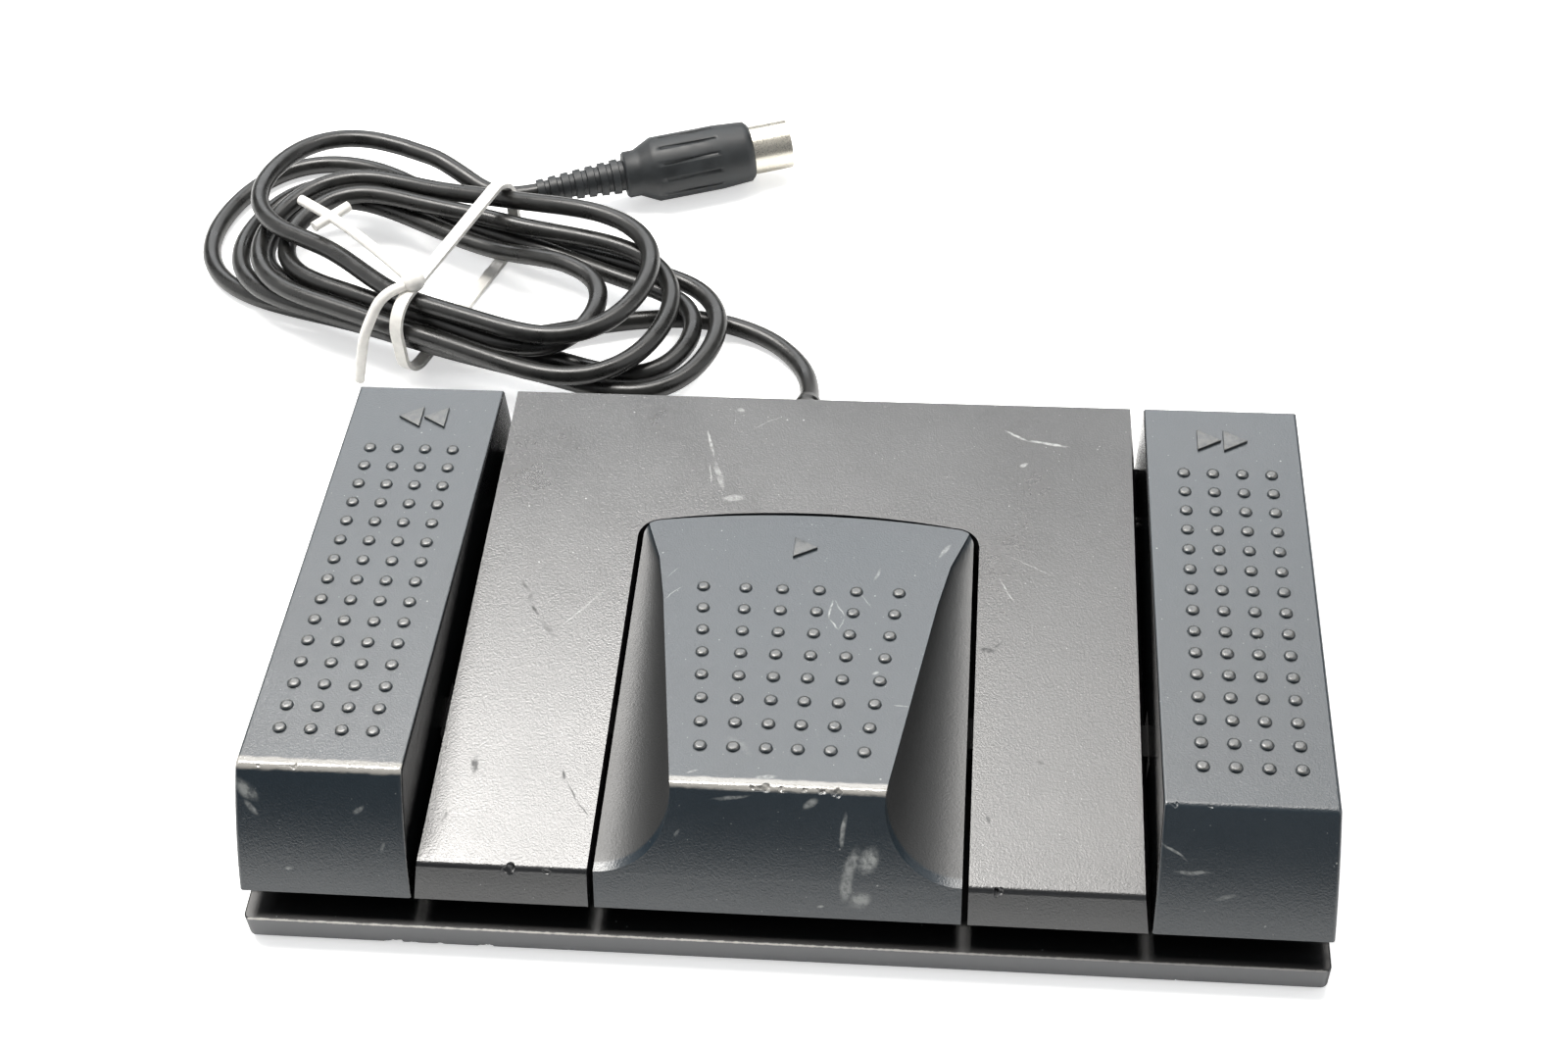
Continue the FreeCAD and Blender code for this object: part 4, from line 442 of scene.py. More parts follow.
def finishes():
    """Every finish of the object by its record slot."""
    tones = bpy.context.scene.pedal_finish
    return {
        "pedal_abs": moulded_abs("moulded_abs_blue_grey", *pair(tones.treadles, 1.35), 0.09, 0.4, PLAY_SCUFFS,
                                 FACE_SCUFFS, noses=(PEDAL_NOSE, PLAY_NOSE)),
        "deck_abs": moulded_abs("moulded_abs_charcoal", *pair(tones.deck, 1.42), 0.08, 0.3, DECK_SCUFFS,
                                rubs=DECK_RUBS),
        "base_abs": gloss_abs(),
        "steel_plate": moulded_part("powder_coated_steel", "#1b1c1d", 0.5, 1200),
        "foot_rubber": moulded_part("moulded_rubber", "#161616", 0.75, 900),
        "zinc_screw": plain_metal("zinc_plated_steel", "#b9bbba", 0.32),
        "spring_steel": plain_metal("drawn_spring_steel", "#a6a8ab", 0.3),
        "switch_black": moulded_part("moulded_phenolic", "#191a1a", 0.45),
        "plunger_red": moulded_part("moulded_acetal_red", "#8e1d16", 0.35),
        "brass_lug": plain_metal("tinned_brass", "#d2bd7c", 0.35),
        "board_green": moulded_part("solder_masked_laminate", "#1f5a33", 0.35),
        "wire_pvc": moulded_part("wire_pvc_grey", "#8a8a88", 0.45),
        "cord_pvc": soft_pvc("cord_pvc_black", *pair(tones.cord, 1.6), 0.3),
        "tie_white": tie_plastic(*pair(tones.tie, 1.13)),
        "plug_pvc": soft_pvc("plug_pvc_charcoal", *pair(tones.plug, 1.58), 0.5),
        "plug_nickel": plain_metal("nickel_plated_steel", "#d9d4c8", 0.3, 6000),
        "insulator_grey": moulded_part("moulded_pbt_dark", "#242424", 0.45),
    }


FINISH = {}


def finish_of(slot):
    """The finish of a record slot. All are made when the first is asked for."""
    if not FINISH:
        FINISH.update(finishes())
    return FINISH[slot]


# Meshes

# Vertices closer than this, in metres, are one, and edges sharper than this stay crisp
WELD = 1e-6
CREASE_DEG = 32.0
# A corner of a chipped copy takes its node's shading where the node's surface is this near, in millimetres, and
# faces the same way to within this cosine. The corner is looked up this share of the way to the middle of its face.
SAME_SURFACE = 0.004
SAME_WAY = 0.98
INWARD = 0.02
# Raised dots within this of a place are pressed this far below the surface, in millimetres
SINK_REACH = 1.3
SINK_DEPTH = 0.1
# A chip's unevenness, the scale of its noise, and how far along it the next chip's lies
CHIP_ROUGH = 0.5
CHIP_GRAIN = 1.7
CHIP_SHIFT = 7.3


def placed(name, data):
    """A new object in the scene."""
    made = bpy.data.objects.new(name, data)
    bpy.context.scene.collection.objects.link(made)
    return made


def loose(name, build):
    """A new object from a function that fills a bmesh, in millimetres."""
    work = bmesh.new()
    build(work)
    bmesh.ops.recalc_face_normals(work, faces=work.faces)
    data = bpy.data.meshes.new(name)
    work.to_mesh(data)
    work.free()
    data.transform(Matrix.Scale(MM, 4))
    return placed(name, data)


def prism(work, corners, low, high):
    """Adds a straight bar with this outline of (x, y) corners, from one height to another."""
    lids = [[work.verts.new((x, y, z)) for x, y in corners] for z in (low, high)]
    for lid in lids:
        work.faces.new(lid)
    for k in range(len(corners)):
        n = (k + 1) % len(corners)
        work.faces.new((lids[0][k], lids[0][n], lids[1][n], lids[1][k]))


def settle(made, modifiers=()):
    """Puts modifiers on an object, bakes them into its mesh and gives it soft shading with crisp edges."""
    for kind, settings in modifiers:
        step = made.modifiers.new(kind.lower(), kind)
        for name, value in settings.items():
            setattr(step, name, value)
    if made.modifiers:
        bpy.context.view_layer.update()
        depsgraph = bpy.context.evaluated_depsgraph_get()
        old = made.data
        made.data = bpy.data.meshes.new_from_object(made.evaluated_get(depsgraph))
        made.modifiers.clear()
        bpy.data.meshes.remove(old)
    made.data.shade_smooth()
    made.data.set_sharp_from_angle(angle=math.radians(CREASE_DEG))
    return made


def paint(mesh, slot):
    """Gives a mesh one finish."""
    mesh.materials.clear()
    mesh.materials.append(finish_of(slot))
    mesh.polygons.foreach_set("material_index", [0] * len(mesh.polygons))


def wear(made, body, slot, *nodes):
    """Dresses a finished mesh: paints it in its slot's finish, hangs it on its body and hides the nodes that it
    stands for.
    """
    paint(made.data, slot)
    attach(made, body)
    if nodes:
        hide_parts(*nodes)


def copy_of(node, name):
    """A welded copy of a node's mesh, as an object."""
    work = bmesh.new()
    work.from_mesh(frame["nodes"][node].data)
    bmesh.ops.remove_doubles(work, verts=work.verts, dist=WELD)
    data = bpy.data.meshes.new(name)
    work.to_mesh(data)
    work.free()
    return placed(name, data)


def sink(made, places):
    """Presses the raised dots at these places, in millimetres, into the surface that new ones will stand on."""
    tree = KDTree(len(places))
    for index, place in enumerate(places):
        tree.insert(V(place) * MM, index)
    tree.balance()
    for vert in made.data.vertices:
        foot, index, distance = tree.find(vert.co)
        if distance < SINK_REACH * MM:
            vert.co.z = min(vert.co.z, foot.z - SINK_DEPTH * MM)
    return made


def chip_cutter(chips):
    """Torn little lumps that chip an edge: each is a place, a size and a stretch along X, in millimetres."""
    def build(work):
        for index, (x, y, z, size, stretch) in enumerate(chips):
            lump = bmesh.ops.create_icosphere(work, subdivisions=3, radius=1.0)["verts"]
            for vert in lump:
                rough = 1 + CHIP_ROUGH * noise.noise(vert.co * CHIP_GRAIN + V((CHIP_SHIFT * index, 0, 0)))
                vert.co = V((x, y, z)) + V((vert.co.x * stretch, vert.co.y, vert.co.z)) * size * rough
    return loose("chips", build)


def chipped(node, name, chips, dots=()):
    """A welded copy of a node with the chips cut out of it and its grip dots pressed in, so that finer ones can stand
    there. Faces that were not touched keep the node's own shading."""
    made, cutter = copy_of(node, name), chip_cutter(chips)
    if dots:
        sink(made, dots)
    settle(made, [("BOOLEAN", {"object": cutter, "operation": "DIFFERENCE", "solver": "EXACT"})])
    bpy.data.objects.remove(cutter)
    source, mesh = frame["nodes"][node].data, made.data
    source.calc_loop_triangles()
    corners = [tuple(triangle.loops) for triangle in source.loop_triangles]
    tree = BVHTree.FromPolygons([vert.co for vert in source.vertices],
                                [tuple(triangle.vertices) for triangle in source.loop_triangles])
    normals = [V(corner.vector) for corner in mesh.corner_normals]
    for face in mesh.polygons:
        for loop in face.loop_indices:
            point = mesh.vertices[mesh.loops[loop].vertex_index].co.lerp(face.center, INWARD)
            near, way, index, distance = tree.find_nearest(point)
            if distance > SAME_SURFACE * MM or way.dot(face.normal) < SAME_WAY:
                continue
            at = [source.vertices[source.loops[corner].vertex_index].co for corner in corners[index]]
            ends = [source.corner_normals[corner].vector for corner in corners[index]]
            shares = interpolate.poly_3d_calc(at, near)
            blend = sum((end * share for end, share in zip(ends, shares)), V((0, 0, 0)))
            if blend.length > 0.5:
                normals[loop] = blend.normalized()
    mesh.normals_split_custom_set(normals)
    return made


def stamped(name, places, tree, slot, values):
    """Points with a stamp set on each by a geometry tree, made a plain mesh. Values are the tree's named inputs."""
    made = loose(name, lambda work: [work.verts.new(place) for place in places])
    step = made.modifiers.new("stamps", "NODES")
    step.node_group = tree
    values = {"Finish": finish_of(slot), **values}
    for item in tree.interface.items_tree:
        if item.item_type == "SOCKET" and item.in_out == "INPUT" and item.name in values:
            step[item.identifier] = values[item.name]
    return settle(made)


def new_tree(name, inputs):
    """A geometry tree with the given inputs, as (name, socket type, default) rows. Gives its sockets by name too."""
    tree = bpy.data.node_groups.new(name, "GeometryNodeTree")
    tree.interface.new_socket(name="Geometry", in_out="INPUT", socket_type="NodeSocketGeometry")
    for label, kind, default in (*inputs, ("Finish", "NodeSocketMaterial", None)):
        item = tree.interface.new_socket(name=label, in_out="INPUT", socket_type=kind)
        if default is not None:
            item.default_value = default
    tree.interface.new_socket(name="Geometry", in_out="OUTPUT", socket_type="NodeSocketGeometry")
    return tree, put(tree, "NodeGroupInput").node.outputs


def set_on_points(tree, start, stamp, angles):
    """Ends a tree: the stamp on each point, turned, as real meshes in the finish that was asked for."""
    copies = put(tree, "GeometryNodeInstanceOnPoints",
                 named={"Points": start["Geometry"], "Instance": stamp, "Rotation": angles})
    real = put(tree, "GeometryNodeRealizeInstances", copies)
    put(tree, "NodeGroupOutput", put(tree, "GeometryNodeSetMaterial", real, None, start["Finish"]))
    return tree


DOT_SIDES = 20
DOT_RINGS = 14


def dot_tree():
    """Grip dots: a low round button with a soft crown and a crisp foot on each point, leaned with the treadle."""
    tree, start = new_tree("grip_dots", [
        ("Radius", "NodeSocketFloat", 1.4 * MM), ("Height", "NodeSocketFloat", 0.55 * MM),
        ("Fullness", "NodeSocketFloat", 5.5), ("Lean", "NodeSocketFloat", 0.0)])
    x, y, z = axes(tree, put(tree, "GeometryNodeInputPosition"))
    across = put(tree, ROOT, put(tree, PLUS, put(tree, POWER, x, 2.0), put(tree, POWER, y, 2.0)))
    share = put(tree, POWER, put(tree, OVER, across, start["Radius"]), start["Fullness"])
    crown = put(tree, LARGER, put(tree, MINUS, 1.0, share), 0.0)
    rise = fold(tree, TIMES, crown, put(tree, SIGN, z), start["Height"])
    ball = put(tree, "GeometryNodeMeshUVSphere", DOT_SIDES, DOT_RINGS, start["Radius"])
    button = put(tree, "GeometryNodeSetPosition", ball, None, put(tree, JOINED, x, y, rise))
    return set_on_points(tree, start, button, put(tree, JOINED, start["Lean"]))


def screw_tree():
    """Screws: the stamp object on each point, turned about Z by a seeded amount and flipped where asked."""
    tree, start = new_tree("screws", [("Stamp", "NodeSocketObject", None), ("Flip", "NodeSocketFloat", 0.0),
                                      ("Seed", "NodeSocketInt", 7)])
    stamp = put(tree, "GeometryNodeObjectInfo", start["Stamp"]).node.outputs["Geometry"]
    spin = put(tree, ("FunctionNodeRandomValue", {"data_type": "FLOAT"}), 0.0, 2 * math.pi, None, start["Seed"])
    return set_on_points(tree, start, stamp, put(tree, JOINED, start["Flip"], None, spin))


# Treadles and deck

# Chips: place, size and stretch along X, in millimetres
PEDAL_CHIPS = [(-97.0, -50.3, 37.9, 0.8, 1.4), (-104.5, -50.4, 37.8, 0.6, 1.6)]
FFWD_CHIPS = [(77.4, -50.3, 37.9, 0.8, 1.2), (84.0, -50.4, 37.9, 0.6, 1.8)]
PLAY_CHIPS = [(-2.3, -50.4, 37.6, 1.0, 1.6), (-5.0, -50.5, 37.6, 0.8, 1.2), (0.8, -50.5, 37.5, 0.7, 1.3),
              (5.4, -50.5, 37.6, 0.7, 1.3), (8.8, -50.6, 37.6, 0.9, 1.4), (11.6, -50.9, 37.4, 1.1, 1.3)]
DECK_CHIPS = [(-53.6, -61.6, 21.4, 1.5, 1.2), (-46.2, -61.7, 21.3, 1.0, 1.4), (-50.6, -61.8, 21.4, 0.6, 1.0),
              (43.9, -61.6, 21.4, 1.4, 1.0), (66.5, -61.9, 21.4, 0.7, 1.5)]
BASE_CHIPS = [(-79.1, -67.6, 1.0, 1.2, 1.9), (-75.5, -67.7, 0.9, 0.8, 1.5), (-70.0, -67.7, 0.9, 0.9, 1.5),
              (-60.0, -67.7, 0.9, 1.1, 1.5), (-43.0, -67.7, 0.8, 0.7, 1.6), (-16.0, -67.8, 0.8, 0.6, 1.4),
              (80.0, -67.8, 0.9, 0.8, 1.2)]
# Grip dots in millimetres: on the outer treadles a first (x, y) and the pitch and number of columns and rows, on the
# middle one the front and the back row as y and x's, and how much each dot is grown past the CAD's
SIDE_DOT_FIRST = (83.05, -40.35)
SIDE_DOT_PITCH = (6.45, 6.08)
SIDE_DOT_COUNT = (4, 15)
PLAY_DOT_ROWS = 8
PLAY_DOT_FRONT = (-39.8, (3.2, 9.8, 16.5))
PLAY_DOT_BACK = (7.7, (4.0, 12.0, 21.2))
DOT_GROWN = 0.06


def top_z(nose, back, y):
    """Height of a straight top face at y."""
    return nose[1] + (back[1] - nose[1]) * (y - nose[0]) / (back[0] - nose[0])


def side_dot_places(way):
    """Feet of the grip dots on the left (-1) or right (1) treadle."""
    places = []
    for row in range(SIDE_DOT_COUNT[1]):
        y = SIDE_DOT_FIRST[1] + row * SIDE_DOT_PITCH[1]
        places += [(way * (SIDE_DOT_FIRST[0] + column * SIDE_DOT_PITCH[0]), y, top_z(PEDAL_NOSE, PEDAL_BACK, y))
                   for column in range(SIDE_DOT_COUNT[0])]
    return places


def play_dot_places():
    """Feet of the grip dots on the middle treadle, whose rows widen toward the back."""
    places = []
    for row in range(PLAY_DOT_ROWS):
        share = row / (PLAY_DOT_ROWS - 1)
        y = PLAY_DOT_FRONT[0] + share * (PLAY_DOT_BACK[0] - PLAY_DOT_FRONT[0])
        z = top_z(PLAY_NOSE, PLAY_BACK, y)
        for front, back in zip(PLAY_DOT_FRONT[1], PLAY_DOT_BACK[1]):
            x = front + share * (back - front)
            places += [(x, y, z), (-x, y, z)]
    return places


def length_prop(name, description, millimetres):
    """A size that the user may change."""
    return bpy.props.FloatProperty(name=name, description=description, default=millimetres * MM, unit="LENGTH")


class PedalTreadleSettings(bpy.types.PropertyGroup):
    dot_radius: length_prop("Dot radius", "Radius of a grip dot at its foot", 1.4)
    dot_height: length_prop("Dot height", "How far a grip dot stands up", 0.55)
    sign_bevel: length_prop("Sign bevel", "Bevel on the raised triangles", 0.14)


class PEDAL_OT_treadles(bpy.types.Operator):
    """Dress the three treadles: chipped noses, grip dots and raised signs"""
    bl_idname = "pedal.treadles"
    bl_label = "Treadles"

    def execute(self, context):
        sizes = context.scene.pedal_treadle
        dots = dot_tree()
        rows = (("back", side_dot_places(-1), PEDAL_NOSE, PEDAL_BACK, PEDAL_CHIPS),
                ("play", play_dot_places(), PLAY_NOSE, PLAY_BACK, PLAY_CHIPS),
                ("ffwd", side_dot_places(1), PEDAL_NOSE, PEDAL_BACK, FFWD_CHIPS))
        for name, places, nose, back, chips in rows:
            body = name + "_pedal"
            shell = chipped(body, name + "_treadle", chips, places)
            wear(shell, body, "pedal_abs", body)
            lean = math.atan2(back[1] - nose[1], back[0] - nose[0])
            made = stamped(name + "_dots", places, dots, "pedal_abs",
                           {"Radius": sizes.dot_radius + DOT_GROWN * MM, "Height": sizes.dot_height + DOT_GROWN * MM,
                            "Lean": lean})
            wear(made, body, "pedal_abs")
            wear(raised_signs(name, nose, back, lean, sizes.sign_bevel), body, "pedal_abs")
        return {"FINISHED"}


# The raised triangles, in millimetres: how far they stand up, reach down and are grown past the CAD's, and their
# width as a share of their height
SIGN_HEIGHT = 0.62
SIGN_ROOT = 0.3
SIGN_GROWN = 0.08
SIGN_WIDTH_SHARE = 0.8
SIGN_GAP = 0.6
# Each treadle's sign: x, y, size, number of triangles, which way they point
SIGNS = {"back": (-SIDE_X, 55.6, 6.6, 2, -1), "play": (0.0, 21.3, 6.4, 1, 1), "ffwd": (SIDE_X, 55.6, 6.6, 2, 1)}


def raised_signs(name, nose, back, lean, bevel):
    """The plain triangles on a treadle's back end, with softened edges."""
    x, y, size, count, way = SIGNS[name]
    width = size * SIGN_WIDTH_SHARE
    turn = Matrix.Translation(V((x, y, top_z(nose, back, y)))) @ Matrix.Rotation(lean, 4, "X")

    def build(work):
        for index in range(count):
            middle = way * (width + SIGN_GAP) * (index + 0.5 - count / 2)
            tail, tip = middle - way * (width / 2 + SIGN_GROWN), middle + way * (width / 2 + SIGN_GROWN)
            half = size / 2 + SIGN_GROWN
            prism(work, ((tail, -half), (tip, 0), (tail, half)), -SIGN_ROOT, SIGN_HEIGHT)
        bmesh.ops.transform(work, matrix=turn, verts=work.verts)
    return settle(loose(name + "_sign", build), [("BEVEL", {"width": bevel, "segments": 3})])


class PEDAL_OT_housing(bpy.types.Operator):
    """Dress the deck and the base, with the dents along their front edges"""
    bl_idname = "pedal.housing"
    bl_label = "Deck and base"

    def execute(self, context):
        for node, name, slot, chips in (("deck_cover", "deck_shell", "deck_abs", DECK_CHIPS),
                                        ("base_tray", "base_shell", "base_abs", BASE_CHIPS)):
            wear(chipped(node, name, chips), "base", slot, node)
        return {"FINISHED"}


# Screws

# Each kind: node, shank radius, head radius, head height and whether the head is on top. All in millimetres.
SCREWS = [("plate_screws", 1.5, 2.8, 0.6, False), ("deck_screws", 1.5, 2.8, 1.6, False),
          ("board_screws", 1.0, 1.9, 1.2, True), ("clamp_screws", 1.0, 1.9, 1.2, True)]
SCREW_SIDES = 28
# The flat of a head ends this far inside its rim, and its round begins here; then come the thread and the point
HEAD_FLAT = 0.9
HEAD_ROUND = 0.35
THREAD_PITCH = 0.6
THREAD_DEPTH = 0.12
POINT = 0.8
# The crossed recess: its bars' width, its depth, and its reach as a share of the head's radius
RECESS_WIDTH = 0.8
RECESS_DEPTH = 0.5
RECESS_REACH = 0.55


def islands(node):
    """The lowest and highest corner of each separate piece of a node, in millimetres."""
    work = bmesh.new()
    work.from_mesh(frame["nodes"][node].data)
    bmesh.ops.remove_doubles(work, verts=work.verts, dist=WELD)
    seen, boxes = set(), []
    for first in work.verts:
        if first in seen:
            continue
        seen.add(first)
        group, edge = [], [first]
        while edge:
            vert = edge.pop()
            group.append(vert.co / MM)
            for link in vert.link_edges:
                other = link.other_vert(vert)
                if other not in seen:
                    seen.add(other)
                    edge.append(other)
        boxes.append([V([pick(co[k] for co in group) for k in range(3)]) for pick in (min, max)])
    work.free()
    return boxes


def screw_stamp(shank, head, height, length):
    """A pan-head screw standing on its head: a domed head with a crossed recess, and a rolled thread."""
    outline = [(0.0, 0.0), (head - HEAD_FLAT, 0.0), (head - HEAD_ROUND, 0.12 * height), (head, 0.45 * height),
               (head, height), (shank, height)]
    z = height
    while z + THREAD_PITCH < length - POINT - 0.2:
        outline += [(shank - THREAD_DEPTH, z + 0.2 * THREAD_PITCH), (shank, z + 0.6 * THREAD_PITCH)]
        z += THREAD_PITCH
    outline += [(shank - THREAD_DEPTH, length - POINT), (0.4 * shank, length), (0.0, length)]

    def turned(work):
        rings = []
        for radius, z in outline:
            turns = [2 * math.pi * k / SCREW_SIDES for k in range(SCREW_SIDES if radius else 1)]
            rings.append([work.verts.new((radius * math.cos(a), radius * math.sin(a), z)) for a in turns])
        for low, high in zip(rings, rings[1:]):
            for k in range(SCREW_SIDES):
                n = (k + 1) % SCREW_SIDES
                corners = [low[k % len(low)], low[n % len(low)], high[n % len(high)], high[k % len(high)]]
                work.faces.new(list(dict.fromkeys(corners)))

    def cross(work):
        arm, side = RECESS_REACH * head, RECESS_WIDTH / 2
        corners = []
        for turn in range(4):
            spin = Matrix.Rotation(math.radians(90 * turn), 2)
            corners += [spin @ V(corner) for corner in ((arm, -side), (arm, side), (side, side))]
        prism(work, corners, -1.0, RECESS_DEPTH)

    made, cutter = loose("screw_stamp", turned), loose("screw_cross", cross)
    settle(made, [("BOOLEAN", {"object": cutter, "operation": "DIFFERENCE", "solver": "EXACT"})])
    bpy.data.objects.remove(cutter)
    return made


class PEDAL_OT_screws(bpy.types.Operator):
    """Set the screws of the base, deck, board and clamp"""
    bl_idname = "pedal.screws"
    bl_label = "Screws"

    def execute(self, context):
        tree = screw_tree()
        for node, shank, head, height, head_up in SCREWS:
            boxes = islands(node)
            length = (boxes[0][1] - boxes[0][0]).z
            stamp = screw_stamp(shank, head, height, length)
            places = [((low.x + high.x) / 2, (low.y + high.y) / 2, high.z if head_up else low.z)
                      for low, high in boxes]
            made = stamped(node + "_set", places, tree, "zinc_screw",
                           {"Stamp": stamp, "Flip": math.pi if head_up else 0.0, "Seed": len(places)})
            bpy.data.objects.remove(stamp)
            wear(made, "base", "zinc_screw", node)
        return {"FINISHED"}


# Springs

class PEDAL_OT_springs(bpy.types.Operator):
    """Copy the return springs in place of the CAD ones"""
    bl_idname = "pedal.springs"
    bl_label = "Springs"

    def execute(self, context):
        for name in ("back", "play", "ffwd"):
            made = copy_of(name + "_spring", name + "_coil")
            paint(settle(made).data, "spring_steel")
            low, high = V(made.bound_box[0]), V(made.bound_box[6])
            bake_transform(made)
            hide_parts(name + "_spring")
        return {"FINISHED"}


# Plug

# The plug's axis, in degrees from X; the flutes' new depth; and what lies between these depths below a body wider
# than this is in a flute, sought in slices of this length. All in millimetres.
PLUG_HEADING = 19.0
GRIP_DEPTH = 0.16
FLUTE_FROM = 0.3
FLUTE_TO = 1.2
BODY_RADIUS = 7.0
SLICE = 0.5


class PedalPlugSettings(bpy.types.PropertyGroup):
    grip_depth: length_prop("Grip depth", "Depth of the long flutes in the plug's grip", GRIP_DEPTH)


class PEDAL_OT_plug(bpy.types.Operator):
    """Refine the plug's grip: shallow worn flutes in place of the crisp ones"""
    bl_idname = "pedal.plug"
    bl_label = "Plug"

    def execute(self, context):
        made = copy_of("plug_body", "plug_grip")
        corners = [V(corner) for corner in frame["nodes"]["plug_shell"].bound_box]
        middle = sum(corners, V((0, 0, 0))) / 8
        along = V((math.cos(math.radians(PLUG_HEADING)), math.sin(math.radians(PLUG_HEADING)), 0))
        slices = {}
        for vert in made.data.vertices:
            away = vert.co - middle
            reach = away.dot(along)
            radial = away - along * reach
            slices.setdefault(round(reach / (SLICE * MM)), []).append((vert, radial, reach))
        for group in slices.values():
            widest = max(radial.length for vert, radial, reach in group)
            if widest <= BODY_RADIUS * MM:
                continue
            for vert, radial, reach in group:
                if widest - FLUTE_TO * MM < radial.length < widest - FLUTE_FROM * MM:
                    radial.length = widest - context.scene.pedal_plug.grip_depth
                    vert.co = middle + along * reach + radial
        wear(settle(made), "base", "plug_pvc", "plug_body")
        return {"FINISHED"}


# Cord

# The cord's route in millimetres. Places in the hank are along it, across it and up, from its middle.
CORD_DIAMETER = 4.8
HANK_MIDDLE = (-98.0, 122.0)
HANK_TURN_DEG = -20.0
LAYER_LOW_Z = 4.0
LAYER_PITCH = 5.4
# Each lobe: its reach from the waist, its half width, its middle across and its layer. Then each turn's waists, and
# the share of its climb that is done at the far one.
LEFT_LOBES = [(81, 29, 12, 0), (65, 24, 3, 1), (58.5, 18, 3, 1), (50, 18.5, 2, 2), (57, 24.5, 2, 2)]
RIGHT_LOBES = [(70, 22, 3, 1), (64, 16.3, 3, 1), (40, 16.5, -2, 2), (58, 25, 0.5, 2), (50, 24, 6, 3)]
FAR_WAIST = [27.5, 22.5, 16.5, 22.5, 28.5]
CLIMB_SHARE = [0.5, 0.5, 0.1, 0.5, 0.5]
NEAR_WAIST = [-21.0, -15.0, -17.5, -23.5, -18.0]
LAST_LOBE = (65, 24, 16)
LAST_LOBE_Z = [20.2, 19.0, 14.6]
LAST_LOBE_FALL = (0, -0.10, -0.08)
HANK_START = (-17.0, -16.5)
HANK_END = (-36.0, 40.0, 14.2)
HANK_END_FALL = -0.06
# The cord leaves the strain relief's tip straight, this steeply down and this far
RELIEF_TIP = (-5.0, 88.09, 6.16)
RELIEF_DROOP = 20.0
RELIEF_RUN = 8.0
LEAD_FLOOR = [(-8.5, 105.5, 2.45), (-17.5, 114.5, 2.6)]
LEAD_HANK = [(63.0, 20.8, 2.9), (50.0, 16.5, 2.9), (37.0, 8.0, 3.6), (24.0, -2.5, 4.0), (9.0, -11.5, 4.0),
             (-7.0, -16.5, 4.0)]
TAIL = [(-30.0, 40.0, 13.84), (-22.0, 38.4, 12.4), (-13.5, 36.6, 10.1), (-6.44, 38.6, 8.75)]
PLUG_START = (-1.0, 43.0, 8.75)
TURN_STEP = 9.0
# How much harder than its chord a quarter turn pulls at its ends
BEND_PULL = 0.33
CORD_ROUNDNESS = 5
CORD_STEPS = 5


def hank_place(u, v, z):
    """A place given along and across the hank, in the row frame, in millimetres."""
    turn = math.radians(HANK_TURN_DEG)
    return V((HANK_MIDDLE[0] + u * math.cos(turn) - v * math.sin(turn),
              HANK_MIDDLE[1] + u * math.sin(turn) + v * math.cos(turn), z))


def layer_z(layer):
    """Height of the cord's middle in a layer of the hank."""
    return CORD_DIAMETER / 2 if layer == 0 else LAYER_LOW_Z + layer * LAYER_PITCH


def lobe(side, reach, half, middle, heights, falls=(0, 0, 0)):
    """The three nodes of a left (-1) or right (1) lobe: shoulder, tip and shoulder."""
    return [((side * (reach - half), middle + side * half, heights[0]), (side, 0, falls[0])),
            ((side * reach, middle, heights[1]), (0, -side, falls[1])),
            ((side * (reach - half), middle - side * half, heights[2]), (-side, 0, falls[2]))]


def hank_nodes():
    """Places and headings along the hank, one turn after another: a left lobe, the far waist, a right lobe and the
    near waist. Headings are (along, across, up)."""
    nodes = [((*HANK_START, LAYER_LOW_Z), (-1, 0, 0))]
    for left, right, far, near, share in zip(LEFT_LOBES, RIGHT_LOBES, FAR_WAIST, NEAR_WAIST, CLIMB_SHARE):
        low, high = layer_z(left[3]), layer_z(right[3])
        climb = 3 * share * (high - low) / (left[0] - left[1] + (right[0] - right[1]))
        nodes += [*lobe(-1, *left[:3], [low] * 3), ((0, far, low + share * (high - low)), (1, 0, climb)),
                  *lobe(1, *right[:3], [high] * 3), ((0, near, high), (-1, 0, 0))]
    nodes += [*lobe(-1, *LAST_LOBE, LAST_LOBE_Z, LAST_LOBE_FALL), (HANK_END, (1, 0, HANK_END_FALL))]
    return [(V(place), V(way)) for place, way in nodes]


def hank_turns():
    """The turns of the hank: a smooth curve through its nodes, a place every TURN_STEP millimetres or so."""
    nodes = hank_nodes()
    places = []
    for (start, a), (end, b) in zip(nodes, nodes[1:]):
        chord = (end - start).length
        bend = a.normalized().angle(b.normalized())
        pull = chord * (1 + BEND_PULL * (bend / (math.pi / 2)) ** 2)
        steps = max(2, round(pull / TURN_STEP))
        for step in range(steps):
            t = step / steps
            place = ((2 * t ** 3 - 3 * t ** 2 + 1) * start + (t ** 3 - 2 * t ** 2 + t) * pull * a
                     + (3 * t ** 2 - 2 * t ** 3) * end + (t ** 3 - t ** 2) * pull * b)
            places.append(hank_place(*place))
    return places


def cord_places():
    """The whole cord from the strain relief to the plug's boot, in metres."""
    droop = math.radians(RELIEF_DROOP)
    places = [V(RELIEF_TIP), V(RELIEF_TIP) + RELIEF_RUN * V((0, math.cos(droop), -math.sin(droop)))]
    places += [V(p) for p in LEAD_FLOOR]
    places += [hank_place(*p) for p in LEAD_HANK]
    places += hank_turns()
    places += [hank_place(*p) for p in (HANK_END, *TAIL, PLUG_START)]
    return [p * MM for p in places]


